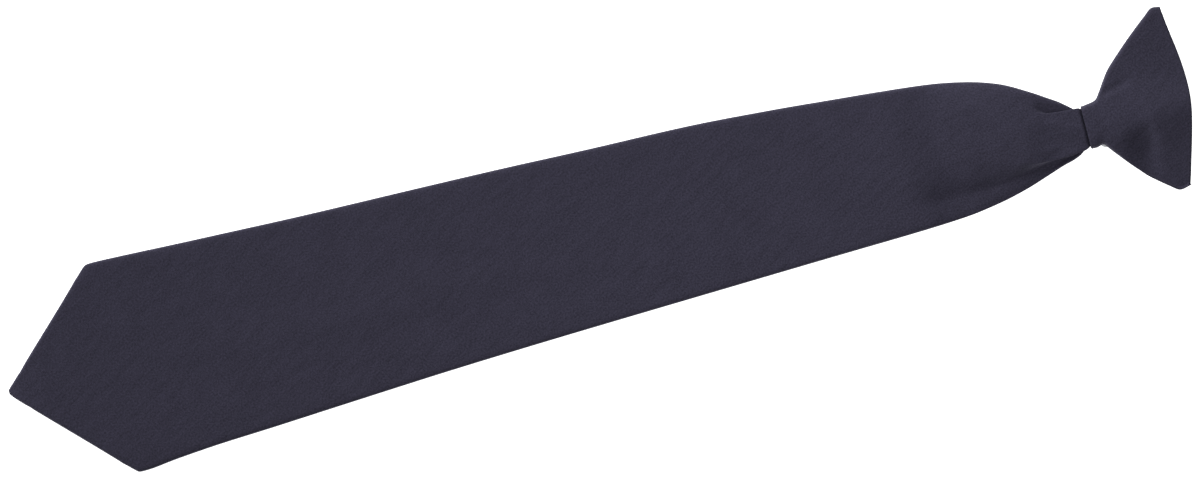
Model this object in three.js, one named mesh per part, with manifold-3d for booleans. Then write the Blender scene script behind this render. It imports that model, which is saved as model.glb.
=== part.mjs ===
// A clip-on necktie lying face up: a folded cloth blade gathered into a neck, a fan-shaped cloth knot
// that holds the neck, and a bent spring-steel clip behind the knot.
// Units are millimetres. The blade's tip is at -X, the knot at +X, and +Z is up, off the surface below.
// The origin lies on that surface, under the middle of the tie's length and of the blade's width.
import * as THREE from "three";
import { mergeVertices } from "three/addons/utils/BufferGeometryUtils.js";
import Module from "manifold-3d";

// Lengths along the tie
const POINT_LENGTH = 44.5; // from the tip to the two corners
const BODY_LENGTH = 339.5; // from the corners to where the gathers start
const GATHER_LENGTH = 80; // from there to the knot's waist
const KNOT_LENGTH = 44; // from the waist to the crown of the fan
const NECK_INSERT = 14; // length of the neck that the knot hides

// Widths across the tie
const BLADE_WIDTH = 89.4; // across the corners
const TIP_WIDTH = 2.4;
const TIP_OFFSET = 1.6; // the tip lies this far to the upper side of the middle
const NECK_WIDTH = 16.6;
const NECK_OFFSET = -6.8; // the neck's middle line, on the lower side
const UPPER_WING = 40.8; // from the neck's middle line to the upper wing's tip
const LOWER_WING = 34.5; // and to the lower wing's tip

// Cloth
const CLOTH = 1.1; // one layer with its interfacing
const TIP_CLOTH = 0.3; // the folded edges thin to this beside the tip
const HEM_CLOTH = 1.6; // the turned hem at the knot's open end
const BLADE_THICKNESS = 4.6;
const NECK_THICKNESS = 5.6;
const GATHER_RISE = 2.2; // how much higher the gathered panel stands before the waist
const PLEAT_DEPTH = 3; // how far the flanks lie below the middle panel
const SEAM_GAP = 0.6; // between the two edges that meet at the centre back
const TURNED_CORNER = 7; // the cloth turned in at the tip fills the point this far
const CREST_HEIGHT = 12; // the knot's front over its back, at its highest
const WING_THICKNESS = 3.6;

// Clip
const CLIP_SHEET = 1;
const CLIP_WIDTH = 20;
const CLIP_LENGTH = 36;
const CLIP_INSET = 5; // from the knot's crown to the clip's bend
const COLLAR_GAP = 5; // room for the shirt's collar band
const PRONG_WIDTH = 5;
const PRONG_LEAD = 4; // the prongs reach this far past the plate
const CORNER_RADIUS = 2.4;
const SEWING_HOLE_RADIUS = 0.9;
const SEWING_HOLE_INSET = 3.2; // from the plate's edges

const FIT_GAP = 0.3; // between pieces that touch

// What follows from them
const BLADE_LENGTH = POINT_LENGTH + BODY_LENGTH + GATHER_LENGTH;
const TIP_X = -(BLADE_LENGTH + KNOT_LENGTH) / 2;
const CORNER_X = TIP_X + POINT_LENGTH;
const GATHER_X = CORNER_X + BODY_LENGTH;
const WAIST_X = GATHER_X + GATHER_LENGTH;
const CROWN_X = WAIST_X + KNOT_LENGTH;
const HALF_CLOTH = CLOTH / 2;
const CLIP_HEIGHT = COLLAR_GAP + 2 * CLIP_SHEET;
const KNOT_LIFT = CLIP_HEIGHT + FIT_GAP;
const NECK_LIFT = KNOT_LIFT + CLOTH + FIT_GAP;
const WAIST_HALF_WIDTH = NECK_WIDTH / 2 + FIT_GAP + CLOTH;
const WAIST_HEIGHT = NECK_THICKNESS + 2 * (FIT_GAP + CLOTH);

// The point: along is a share of its length, spread the share of the way from the tip to each corner.
const POINT_ROWS = [
  { along: 0.035, spread: 0.066 },
  { along: 0.12, spread: 0.148 },
  { along: 0.921, spread: 0.948 },
  { along: 0.966, spread: 0.984 },
];

// The body: along is a share of its length, upper and lower are shares of half the blade's width.
const BODY_ROWS = [
  { along: 0, upper: 1, lower: 1 },
  { along: 0.02, upper: 0.998, lower: 0.98 },
  { along: 0.16, upper: 0.953, lower: 0.913 },
  { along: 0.4, upper: 0.895, lower: 0.823 },
  { along: 0.635, upper: 0.837, lower: 0.758 },
  { along: 0.75, upper: 0.814, lower: 0.734 },
  { along: 0.87, upper: 0.749, lower: 0.709 },
  { along: 1, upper: 0.664, lower: 0.687 },
];

// The gathers, from the body's end to the waist. along is a share of their length. upper and lower are
// shares of the way from the neck's edge out to the body's edge, lift of the way up to the knot, rise of
// the gathered panel's extra height. A pleat lies at a share of the half width, and drops by a share of
// the pleats' depth.
const GATHER_ROWS = [
  { along: 0, upper: 1, lower: 1, lift: 0, rise: 0,
    upperPleat: 0.32, upperDrop: 0, lowerPleat: 0.48, lowerDrop: 0 },
  { along: 0.2, upper: 0.929, lower: 0.949, lift: 0.04, rise: 0.1,
    upperPleat: 0.32, upperDrop: 0, lowerPleat: 0.48, lowerDrop: 0.15 },
  { along: 0.375, upper: 0.855, lower: 0.872, lift: 0.16, rise: 0.3,
    upperPleat: 0.3, upperDrop: 0.1, lowerPleat: 0.6, lowerDrop: 0.35 },
  { along: 0.5, upper: 0.755, lower: 0.75, lift: 0.3, rise: 0.5,
    upperPleat: 0.3, upperDrop: 0.25, lowerPleat: 0.64, lowerDrop: 0.5 },
  { along: 0.625, upper: 0.628, lower: 0.59, lift: 0.47, rise: 0.75,
    upperPleat: 0.32, upperDrop: 0.5, lowerPleat: 0.7, lowerDrop: 0.65 },
  { along: 0.7375, upper: 0.433, lower: 0.404, lift: 0.66, rise: 1,
    upperPleat: 0.41, upperDrop: 0.9, lowerPleat: 0.72, lowerDrop: 0.8 },
  { along: 0.825, upper: 0.277, lower: 0.237, lift: 0.82, rise: 1,
    upperPleat: 0.54, upperDrop: 1, lowerPleat: 0.66, lowerDrop: 0.7 },
  { along: 0.8875, upper: 0.135, lower: 0.173, lift: 0.92, rise: 0.6,
    upperPleat: 0.58, upperDrop: 0.5, lowerPleat: 0.62, lowerDrop: 0.4 },
  { along: 0.9375, upper: 0.039, lower: 0.058, lift: 0.98, rise: 0.2,
    upperPleat: 0.5, upperDrop: 0.1, lowerPleat: 0.5, lowerDrop: 0.1 },
  { along: 0.985, upper: 0, lower: 0, lift: 1, rise: 0,
    upperPleat: 0.4, upperDrop: 0, lowerPleat: 0.4, lowerDrop: 0 },
];

// The knot, from waist to hem. The along columns are shares of its length, where a section meets each
// side. The out columns are shares of the way from the waist's edge to the wing's tip. lead is how far
// the section's middle runs ahead, as a share of the length. crest is the share of the way up from the
// waist's height to the crest's, edge the share of the way from the wing's thickness to the waist's.
const KNOT_ROWS = [
  { upperAlong: 0, upperOut: 0, lowerAlong: 0, lowerOut: 0, lead: 0, crest: 0, edge: 1 },
  { upperAlong: 0.12, upperOut: 0, lowerAlong: 0.09, lowerOut: 0, lead: 0, crest: 0.06, edge: 1 },
  { upperAlong: 0.23, upperOut: 0.25, lowerAlong: 0.18, lowerOut: 0.19, lead: 0.01, crest: 0.5, edge: 0.75 },
  { upperAlong: 0.364, upperOut: 0.46, lowerAlong: 0.307, lowerOut: 0.45, lead: 0.03, crest: 0.9, edge: 0.3 },
  { upperAlong: 0.523, upperOut: 0.672, lowerAlong: 0.432, lowerOut: 0.68, lead: 0.06, crest: 1, edge: 0.15 },
  { upperAlong: 0.705, upperOut: 0.875, lowerAlong: 0.568, lowerOut: 0.88, lead: 0.09, crest: 0.8, edge: 0.05 },
  { upperAlong: 0.861, upperOut: 1, lowerAlong: 0.693, lowerOut: 1, lead: 0.11, crest: 0.5, edge: 0 },
  { upperAlong: 0.945, upperOut: 0.984, lowerAlong: 0.795, lowerOut: 0.907, lead: 0.117, crest: 0.3, edge: 0 },
];
const HEM_ROWS = 1; // this many of the last table rows are hem

// Folds in the knot's front, each a straight ridge (height above 0) or dent (below 0). along is a share
// of the knot's length, out of the upper wing's reach, or of the lower wing's where it is below 0, width
// of the knot's length, height of the crest's.
const FOLD_ROWS = [
  { startAlong: 0.16, startOut: 0.26, endAlong: 0.42, endOut: 0.31, width: 0.05, height: 0.08 },
  { startAlong: 0.27, startOut: 0.36, endAlong: 0.41, endOut: 0.38, width: 0.06, height: -0.08 },
  { startAlong: 0.25, startOut: -0.33, endAlong: 0.46, endOut: -0.42, width: 0.11, height: -0.2 },
  { startAlong: 0.566, startOut: 0.08, endAlong: 0.577, endOut: -0.34, width: 0.05, height: 0.08 },
  { startAlong: 0.577, startOut: -0.34, endAlong: 0.495, endOut: -0.72, width: 0.05, height: 0.08 },
];

// Shapes of the cloth between those rows
const ARCH_POWER = 0.8; // of the sine across the knot: below 1 is fuller
const FOLD_FADE = 6; // how quickly the knot's folds die out towards its sides
const VALLEY_SHARE = 0.3; // a pleat's valley lies this share of the way from its ridge to the edge
const FOLD_ROOM = 0.75; // a folded edge takes at most this share of its flank
const SHARPEST_MITRE = 0.75; // limits how far a sharp crease pushes the cloth's faces out

// How finely the cloth and the clip's bend are faceted
const SMOOTH_STEPS = 2; // stations for each row of the gathers and of the knot
const FOLD_STEPS = 4; // facets round a folded edge
const BACK_STEPS = 3;
const PANEL_STEPS = 4;
const KNOT_FRONT_STEPS = 22;
const BEND_STEPS = 8;

const clothMaterial = new THREE.MeshStandardMaterial({ color: 0x363441, roughness: 0.9, metalness: 0 });
const steelMaterial = new THREE.MeshStandardMaterial({ color: 0xb4b6ba, roughness: 0.35, metalness: 1 });

const wasm = await Module();
wasm.setup();

function lerp(from, to, share) {
  return THREE.MathUtils.lerp(from, to, share);
}

// A column's value at a place counted in rows, such as 2.5, on a smooth curve through the table that
// stays between the two rows next to it.
function columnAt(rows, column, place) {
  const points = rows.map((row, index) => new THREE.Vector2(index, row[column]));
  const value = new THREE.SplineCurve(points).getPoint(place / (rows.length - 1)).y;
  const before = rows[Math.floor(place)][column];
  const after = rows[Math.ceil(place)][column];
  return THREE.MathUtils.clamp(value, Math.min(before, after), Math.max(before, after));
}

// The table with more rows: every column follows its smooth curve.
function refined(rows, steps) {
  const columns = Object.keys(rows[0]);
  const count = (rows.length - 1) * steps;
  return Array.from({ length: count + 1 }, (_, index) => {
    const values = columns.map((column) => [column, columnAt(rows, column, index / steps)]);
    return Object.fromEntries(values);
  });
}

function solidFrom(geometry) {
  const bare = geometry.clone();
  bare.deleteAttribute("normal");
  bare.deleteAttribute("uv");
  const merged = mergeVertices(bare);
  const mesh = new wasm.Mesh({
    numProp: 3,
    vertProperties: new Float32Array(merged.attributes.position.array),
    triVerts: new Uint32Array(merged.index.array),
  });
  return new wasm.Manifold(mesh);
}

function geometryFrom(solid) {
  const mesh = solid.getMesh();
  const geometry = new THREE.BufferGeometry();
  geometry.setAttribute("position", new THREE.BufferAttribute(mesh.vertProperties, 3));
  geometry.setIndex(new THREE.BufferAttribute(mesh.triVerts, 1));
  geometry.computeVertexNormals();
  return geometry;
}

// Outward unit normals of the quads that meet at one point of a grid.
function facetNormals(grid, row, column) {
  const normals = [];
  for (const i of [row - 1, row]) {
    for (const j of [column - 1, column]) {
      if (i < 0 || j < 0 || i + 1 >= grid.length || j + 1 >= grid[0].length) continue;
      const across = grid[i + 1][j + 1].clone().sub(grid[i][j]);
      const back = grid[i + 1][j].clone().sub(grid[i][j + 1]);
      normals.push(across.cross(back).normalize());
    }
  }
  return normals;
}

// The point's offset to the outer face of a layer of cloth, mitred where the cloth is creased.
function clothOffset(grid, row, column, thickness) {
  const facets = facetNormals(grid, row, column);
  const normal = new THREE.Vector3();
  facets.forEach((facet) => normal.add(facet));
  normal.normalize();
  const lean = facets.reduce((sum, facet) => sum + facet.dot(normal), 0) / facets.length;
  return normal.multiplyScalar(thickness / 2 / Math.max(lean, SHARPEST_MITRE));
}

// One closed layer of cloth round a grid of points on its middle surface. Rows follow each other along
// the piece, and columns run round it, from one edge of the back seam over the front to the other.
function clothLayer(grid, thicknessOfRow) {
  const rows = grid.length;
  const columns = grid[0].length;
  const positions = [];
  for (const side of [1, -1]) {
    grid.forEach((points, i) => {
      points.forEach((point, j) => {
        const offset = clothOffset(grid, i, j, thicknessOfRow(i)).multiplyScalar(side);
        positions.push(...point.clone().add(offset).toArray());
      });
    });
  }
  const outer = (i, j) => i * columns + j;
  const inner = (i, j) => (rows + i) * columns + j;
  const triangles = [];
  const quad = (a, b, c, d) => triangles.push(a, b, c, a, c, d);
  for (let i = 0; i + 1 < rows; i++) {
    for (let j = 0; j + 1 < columns; j++) {
      quad(outer(i, j), outer(i, j + 1), outer(i + 1, j + 1), outer(i + 1, j));
      quad(inner(i, j), inner(i + 1, j), inner(i + 1, j + 1), inner(i, j + 1));
    }
    quad(outer(i, 0), outer(i + 1, 0), inner(i + 1, 0), inner(i, 0));
    quad(outer(i, columns - 1), inner(i, columns - 1), inner(i + 1, columns - 1), outer(i + 1, columns - 1));
  }
  for (let j = 0; j + 1 < columns; j++) {
    quad(outer(0, j), inner(0, j), inner(0, j + 1), outer(0, j + 1));
    quad(outer(rows - 1, j), outer(rows - 1, j + 1), inner(rows - 1, j + 1), inner(rows - 1, j));
  }
  const geometry = new THREE.BufferGeometry();
  geometry.setAttribute("position", new THREE.Float32BufferAttribute(positions, 3));
  geometry.setIndex(triangles);
  return geometry;
}

// Half of a section, as [y, z] pairs: from the back seam out to a folded edge and round it.
// side is 1 on the upper side and -1 on the lower, and room is how far in the fold may reach.
function backAndFold(middle, edge, side, backZ, frontZ, room) {
  const rise = (frontZ - backZ) / 2;
  const reach = Math.min(rise, room);
  const seam = middle + side * SEAM_GAP / 2;
  const foldStart = edge - side * reach;
  const points = [];
  for (let step = 0; step < BACK_STEPS; step++) {
    points.push([lerp(seam, foldStart, step / BACK_STEPS), backZ]);
  }
  for (let step = 0; step <= FOLD_STEPS; step++) {
    const turn = Math.PI * step / FOLD_STEPS;
    points.push([foldStart + side * reach * Math.sin(turn), backZ + rise * (1 - Math.cos(turn))]);
  }
  return points;
}

// Half of a blade section: the back, the folded edge, the flank, the pleat's valley and its ridge.
function bladeSide(station, side, outline, pleat, drop) {
  const edge = outline - side * HALF_CLOTH;
  const backZ = station.lift + HALF_CLOTH;
  const panelZ = station.lift + station.thickness - HALF_CLOTH;
  const flankZ = panelZ - drop;
  const ridge = lerp(station.middle, edge, pleat);
  const valley = lerp(ridge, edge, VALLEY_SHARE);
  const room = Math.abs(edge - valley) * FOLD_ROOM;
  const points = backAndFold(station.middle, edge, side, backZ, flankZ, room);
  const foldEnd = points[points.length - 1][0];
  points.push([lerp(foldEnd, valley, 0.5), flankZ], [valley, flankZ], [ridge, panelZ]);
  return points;
}

function bladeSection(station) {
  const upper = bladeSide(station, 1, station.upper, station.upperPleat, station.upperDrop);
  const lower = bladeSide(station, -1, station.lower, station.lowerPleat, station.lowerDrop);
  const [upperRidge, panelZ] = upper[upper.length - 1];
  const [lowerRidge] = lower[lower.length - 1];
  const panel = [];
  for (let step = 1; step < PANEL_STEPS; step++) {
    panel.push([lerp(upperRidge, lowerRidge, step / PANEL_STEPS), panelZ]);
  }
  return [...upper, ...panel, ...lower.reverse()];
}

// A flat station of the blade, between its two outlines.
function flatStation(x, upper, lower) {
  const middle = (upper + lower) / 2;
  const { upperPleat, lowerPleat } = GATHER_ROWS[0];
  return {
    x, upper, lower, middle, lift: 0, thickness: BLADE_THICKNESS,
    upperPleat, lowerPleat, upperDrop: 0, lowerDrop: 0,
  };
}

function bladeStations() {
  const halfWidth = BLADE_WIDTH / 2;
  const point = POINT_ROWS.map(({ along, spread }) => {
    const upper = lerp(TIP_OFFSET, halfWidth, spread);
    const lower = lerp(TIP_OFFSET, -halfWidth, spread);
    return flatStation(TIP_X + along * POINT_LENGTH, upper, lower);
  });
  const body = BODY_ROWS.map(({ along, upper, lower }) => {
    return flatStation(CORNER_X + along * BODY_LENGTH, upper * halfWidth, -lower * halfWidth);
  });
  const start = body.pop();
  const gathers = refined(GATHER_ROWS, SMOOTH_STEPS).map((row) => {
    const upper = lerp(NECK_OFFSET + NECK_WIDTH / 2, start.upper, row.upper);
    const lower = lerp(NECK_OFFSET - NECK_WIDTH / 2, start.lower, row.lower);
    return {
      x: GATHER_X + row.along * GATHER_LENGTH,
      upper,
      lower,
      middle: (upper + lower) / 2,
      lift: row.lift * NECK_LIFT,
      thickness: lerp(BLADE_THICKNESS, NECK_THICKNESS, row.lift) + row.rise * GATHER_RISE,
      upperPleat: row.upperPleat,
      upperDrop: row.upperDrop * PLEAT_DEPTH,
      lowerPleat: row.lowerPleat,
      lowerDrop: row.lowerDrop * PLEAT_DEPTH,
    };
  });
  const neck = gathers[gathers.length - 1];
  return [...point, ...body, ...gathers, { ...neck, x: WAIST_X + NECK_INSERT }];
}

// The cloth turned in at the tip, which closes the point.
function turnedCorner() {
  const depth = BLADE_THICKNESS - CLOTH;
  const share = TURNED_CORNER / POINT_LENGTH;
  const shape = new THREE.Shape();
  shape.moveTo(TIP_X, TIP_OFFSET - TIP_WIDTH / 2);
  shape.lineTo(TIP_X + TURNED_CORNER, lerp(TIP_OFFSET - TIP_WIDTH / 2, -BLADE_WIDTH / 2, share));
  shape.lineTo(TIP_X + TURNED_CORNER, lerp(TIP_OFFSET + TIP_WIDTH / 2, BLADE_WIDTH / 2, share));
  shape.lineTo(TIP_X, TIP_OFFSET + TIP_WIDTH / 2);
  shape.closePath();
  const geometry = new THREE.ExtrudeGeometry(shape, { depth, bevelEnabled: false });
  return geometry.translate(0, 0, HALF_CLOTH);
}

function makeBlade() {
  const grid = bladeStations().map((station) => {
    return bladeSection(station).map(([y, z]) => new THREE.Vector3(station.x, y, z));
  });
  const cloth = solidFrom(clothLayer(grid, (row) => (row === 0 ? TIP_CLOTH : CLOTH)));
  return geometryFrom(cloth.add(solidFrom(turnedCorner())));
}

// A fold's end in plan.
function foldPoint(along, out) {
  const reach = out > 0 ? UPPER_WING : LOWER_WING;
  return new THREE.Vector2(WAIST_X + along * KNOT_LENGTH, NECK_OFFSET + out * reach);
}

// How far the folds raise or sink the knot's front at a place in plan.
function foldRelief(x, y) {
  const place = new THREE.Vector3(x, y, 0);
  return FOLD_ROWS.reduce((sum, row) => {
    const start = foldPoint(row.startAlong, row.startOut);
    const end = foldPoint(row.endAlong, row.endOut);
    const line = new THREE.Line3(
      new THREE.Vector3(start.x, start.y, 0),
      new THREE.Vector3(end.x, end.y, 0),
    );
    const nearest = line.closestPointToPoint(place, true, new THREE.Vector3());
    const distance = nearest.distanceTo(place) / (row.width * KNOT_LENGTH);
    return sum + row.height * CREST_HEIGHT * Math.exp(-distance * distance);
  }, 0);
}

function knotSection(row) {
  const upperX = WAIST_X + row.upperAlong * KNOT_LENGTH;
  const lowerX = WAIST_X + row.lowerAlong * KNOT_LENGTH;
  const upperY = NECK_OFFSET + lerp(WAIST_HALF_WIDTH, UPPER_WING, row.upperOut);
  const lowerY = NECK_OFFSET - lerp(WAIST_HALF_WIDTH, LOWER_WING, row.lowerOut);
  const backZ = KNOT_LIFT + HALF_CLOTH;
  const edgeZ = KNOT_LIFT + lerp(WING_THICKNESS, WAIST_HEIGHT, row.edge) - HALF_CLOTH;
  const crestZ = KNOT_LIFT + lerp(WAIST_HEIGHT, CREST_HEIGHT, row.crest) - HALF_CLOTH;
  const middle = (upperY + lowerY) / 2;
  const room = Math.abs(upperY - middle) / 2;
  const upper = backAndFold(middle, upperY - HALF_CLOTH, 1, backZ, edgeZ, room);
  const lower = backAndFold(middle, lowerY + HALF_CLOTH, -1, backZ, edgeZ, room);
  const frontStart = upper[upper.length - 1][0];
  const frontEnd = lower[lower.length - 1][0];
  const place = (y) => {
    const across = (y - upperY) / (lowerY - upperY);
    return lerp(upperX, lowerX, across) + row.lead * KNOT_LENGTH * 4 * across * (1 - across);
  };
  const front = [];
  for (let step = 1; step < KNOT_FRONT_STEPS; step++) {
    const across = step / KNOT_FRONT_STEPS;
    const y = lerp(frontStart, frontEnd, across);
    const arch = Math.sin(Math.PI * across) ** ARCH_POWER;
    const fade = (1 - row.edge) * Math.min(1, FOLD_FADE * across * (1 - across));
    front.push([y, lerp(edgeZ, crestZ, arch) + fade * foldRelief(place(y), y)]);
  }
  return [...upper, ...front, ...lower.reverse()].map(([y, z]) => new THREE.Vector3(place(y), y, z));
}

function makeKnot() {
  const grid = refined(KNOT_ROWS, SMOOTH_STEPS).map(knotSection);
  const firstHemRow = grid.length - 1 - HEM_ROWS * SMOOTH_STEPS;
  return clothLayer(grid, (row) => (row > firstHemRow ? HEM_CLOTH : CLOTH));
}

// A flat plan outline raised into a solid between two heights.
function raised(shape, bottom, top) {
  const geometry = new THREE.ExtrudeGeometry(shape, {
    depth: top - bottom, bevelEnabled: false, curveSegments: BEND_STEPS,
  });
  return solidFrom(geometry.translate(0, 0, bottom));
}

// A strip in plan from x to endX, with its corners rounded at x.
function strip(x, endX, y, width, radius) {
  const shape = new THREE.Shape();
  const low = y - width / 2;
  const high = y + width / 2;
  shape.moveTo(endX, low);
  shape.lineTo(endX, high);
  shape.lineTo(x + radius, high);
  shape.absarc(x + radius, high - radius, radius, Math.PI / 2, Math.PI, false);
  shape.absarc(x + radius, low + radius, radius, Math.PI, 1.5 * Math.PI, false);
  shape.closePath();
  return shape;
}

function makeClip() {
  const endX = CROWN_X - CLIP_INSET;
  const bendX = endX - CLIP_HEIGHT / 2;
  const prongX = endX - CLIP_LENGTH;
  const plateX = prongX + PRONG_LEAD;
  const middleZ = CLIP_HEIGHT / 2;
  const innerRadius = COLLAR_GAP / 2;

  // The bent strip, seen from the side, before the prongs are cut
  const profile = new THREE.Shape();
  profile.moveTo(prongX, 0);
  profile.lineTo(bendX, 0);
  profile.absarc(bendX, middleZ, middleZ, -Math.PI / 2, Math.PI / 2, false);
  profile.lineTo(prongX, CLIP_HEIGHT);
  profile.lineTo(prongX, CLIP_HEIGHT - CLIP_SHEET);
  profile.lineTo(bendX, CLIP_HEIGHT - CLIP_SHEET);
  profile.absarc(bendX, middleZ, innerRadius, Math.PI / 2, -Math.PI / 2, true);
  profile.lineTo(prongX, CLIP_SHEET);
  profile.closePath();
  const bent = new THREE.ExtrudeGeometry(profile, {
    depth: CLIP_WIDTH, bevelEnabled: false, curveSegments: BEND_STEPS,
  });
  bent.rotateX(Math.PI / 2);
  bent.translate(0, NECK_OFFSET + CLIP_WIDTH / 2, 0);

  // What is kept of it: the plate over the gap, the two prongs under it, and the whole bend
  const prongY = (CLIP_WIDTH - PRONG_WIDTH) / 2;
  const plate = raised(strip(plateX, endX, NECK_OFFSET, CLIP_WIDTH, CORNER_RADIUS), middleZ, CLIP_HEIGHT);
  const bend = raised(strip(bendX, endX, NECK_OFFSET, CLIP_WIDTH, 0), 0, middleZ);
  const prongs = [-prongY, prongY].map((side) => {
    return raised(strip(prongX, endX, NECK_OFFSET + side, PRONG_WIDTH, CORNER_RADIUS), 0, middleZ);
  });
  const kept = prongs.reduce((sum, prong) => sum.add(prong), plate.add(bend));
  let clip = solidFrom(bent).intersect(kept);

  const holeY = CLIP_WIDTH / 2 - SEWING_HOLE_INSET;
  for (const holeX of [plateX + SEWING_HOLE_INSET, bendX - SEWING_HOLE_INSET]) {
    for (const side of [-1, 1]) {
      const hole = new THREE.Shape();
      hole.absarc(holeX, NECK_OFFSET + side * holeY, SEWING_HOLE_RADIUS, 0, 2 * Math.PI, false);
      clip = clip.subtract(raised(hole, middleZ, CLIP_HEIGHT + CLIP_SHEET));
    }
  }
  return geometryFrom(clip);
}

const tie = new THREE.Group();
for (const [name, geometry, material] of [
  ["blade", makeBlade(), clothMaterial],
  ["knot", makeKnot(), clothMaterial],
  ["clip", makeClip(), steelMaterial],
]) {
  const mesh = new THREE.Mesh(geometry, material);
  mesh.name = name;
  tie.add(mesh);
}

export default tie;
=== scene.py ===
# %% [markdown]
# A clip-on necktie lies face up on a white table. It is made of three things: a long folded cloth
# blade, a ready-made cloth knot, and a steel clip behind the knot. The solids of all three come from
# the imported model, which gives every place and size. This lesson dresses them: both cloth pieces are
# folded again from fine sheets, a back seam and some sewing threads are added, and the clip keeps
# its solid and gets a finish of brushed steel.

# %% Load the frame
import math

import bpy
import numpy as np
from mathutils import Matrix, Vector, noise


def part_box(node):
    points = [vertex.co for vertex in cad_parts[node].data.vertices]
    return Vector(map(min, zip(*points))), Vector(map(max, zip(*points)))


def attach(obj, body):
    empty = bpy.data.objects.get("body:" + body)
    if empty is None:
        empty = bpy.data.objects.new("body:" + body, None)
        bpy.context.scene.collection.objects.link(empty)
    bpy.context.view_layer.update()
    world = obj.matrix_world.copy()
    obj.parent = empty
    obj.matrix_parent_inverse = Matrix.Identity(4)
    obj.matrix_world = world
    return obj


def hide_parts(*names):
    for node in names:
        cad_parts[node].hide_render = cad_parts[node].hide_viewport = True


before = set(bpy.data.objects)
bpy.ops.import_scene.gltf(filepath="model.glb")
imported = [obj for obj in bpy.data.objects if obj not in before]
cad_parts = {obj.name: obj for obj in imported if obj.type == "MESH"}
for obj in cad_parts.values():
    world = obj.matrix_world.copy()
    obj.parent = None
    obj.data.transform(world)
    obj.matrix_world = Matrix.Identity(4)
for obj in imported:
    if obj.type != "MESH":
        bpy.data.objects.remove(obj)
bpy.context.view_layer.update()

MM = 0.001
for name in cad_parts:
    low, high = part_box(name)
    print(name, "spans", [round(v / MM, 1) for v in high - low], "mm")

# %% [markdown]
# Everything is measured from the tie itself. Along the tie, distances start at the blade's tip. Across
# it, they are measured from a straight axis through the tip: below 0 on the upper side of the
# picture, above 0 on the lower side. All the tables here are in millimetres, and one function turns
# such a distance into the frame's y. Blender itself works in metres, so the last step multiplies.

# %% Places on the tie
blade_low, blade_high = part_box("blade")
knot_low, knot_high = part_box("knot")
clip_low, clip_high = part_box("clip")

TIP_X = blade_low.x / MM
TIP_Y = 1.6  # the axis lies this far to the upper side of the blade's middle
KNOT_BACK = 7.3  # height of the knot's back over the table
WAIST = knot_low.x / MM - TIP_X  # where the knot starts, from the tip
CROWN = knot_high.x / MM - TIP_X  # where it ends
NECK_END = blade_high.x / MM - TIP_X


def row_y(across):
    """The frame's y, in millimetres, of a distance across the tie."""
    return TIP_Y - np.asarray(across, float)


print("waist", round(WAIST, 1), "crown", round(CROWN, 1), "neck end", round(NECK_END, 1))

# %% [markdown]
# A table's rows are joined by a smooth curve. A plain cubic would swing past its points where a row
# is flat, and the cloth would bulge there. This curve takes the harmonic mean of the slopes on both
# sides of a row, so it stays between its rows, and a few rows are enough for an edge without waves.

# %% A smooth curve through a table's column
def eased(at, places, values):
    """Values at some places, on a curve that never leaves the span of the two rows around it."""
    at, places, values = (np.asarray(a, float) for a in (at, places, values))
    steps = np.diff(places)
    slopes = np.diff(values) / steps
    product = slopes[:-1] * slopes[1:]
    total = np.where(product > 0, slopes[:-1] + slopes[1:], 1.0)
    inner = np.where(product > 0, 2 * product / total, 0.0)
    tangents = np.concatenate([slopes[:1], inner, slopes[-1:]])
    at = np.clip(at, places[0], places[-1])
    span = np.clip(np.searchsorted(places, at, side="right") - 1, 0, len(steps) - 1)
    share = (at - places[span]) / steps[span]
    start, end = values[span], values[span + 1]
    rise = tangents[span] * steps[span]
    fall = tangents[span + 1] * steps[span]
    return (
        start * (1 + 2 * share) * (1 - share) ** 2 + rise * share * (1 - share) ** 2
        + end * share * share * (3 - 2 * share) + fall * share * share * (share - 1)
    )


def column(rows, name, at):
    """One named column of a table at some places along the tie."""
    header, *body = rows
    index = header.index(name)
    return eased(at, [row[0] for row in body], [row[index] for row in body])


print("check of the curve:", eased([0.5, 1.5], [0, 1, 2], [0, 0, 1]))

# %% [markdown]
# The blade's outline is what the eye knows a tie by: a square point, two corners, a long taper and
# the gathers into the knot. The table gives how far the folded edges lie from the axis. Past the
# place where the pleats close, the flanks slide under the middle panel, so there the edge that is
# seen belongs to the panel and this table gives the hidden one.

# %% The blade's outline
OUTLINE = [
    ("from_tip", "upper", "lower"),
    (0.0, -0.7, 1.0),
    (0.7, -1.5, 2.1),
    (4.0, -4.6, 5.7),
    (12.0, -12.4, 13.9),
    (28.0, -27.7, 30.2),
    (40.0, -39.4, 42.5),
    (42.6, -41.9, 45.0),
    (44.2, -43.1, 46.3),
    (46.5, -43.4, 46.4),
    (60.0, -43.0, 45.1),
    (80.0, -42.1, 43.6),
    (100.0, -41.3, 42.7),
    (140.0, -39.8, 40.6),
    (180.0, -38.8, 38.6),
    (220.0, -37.7, 37.1),
    (260.0, -36.2, 35.9),
    (300.0, -35.0, 34.8),
    (340.0, -32.3, 33.7),
    (360.0, -30.5, 33.2),
    (384.0, -28.3, 32.6),
    (405.0, -25.9, 31.6),
    (420.0, -22.8, 29.6),
    (432.0, -18.7, 26.9),
    (444.0, -11.9, 23.1),
    (450.0, -7.9, 21.1),
    (454.0, -5.2, 20.1),
    (458.0, -1.9, 18.6),
    (461.0, 0.8, 15.8),
    (464.0, 2.2, 14.6),
    (480.0, 2.6, 14.0),
]
width = max(row[2] - row[1] for row in OUTLINE[1:])
print("widest place, across the two corners:", round(width, 1), "mm")

# %% [markdown]
# Seen from the side, the blade lies flat and then climbs to the raised knot. A picture from above
# doesn't give heights, but they can be chosen so that the cloth shades as the real cloth does. Here
# "lift" is how far the back is off the table, "panel" how thick the blade is in its middle, and
# "reach" how deep its rolled edges are. "arch" is how much the gathers rise above that, "crest" to
# which side the arch leans, and "twist" how far the lower edge is pressed down and the upper raised.

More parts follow.
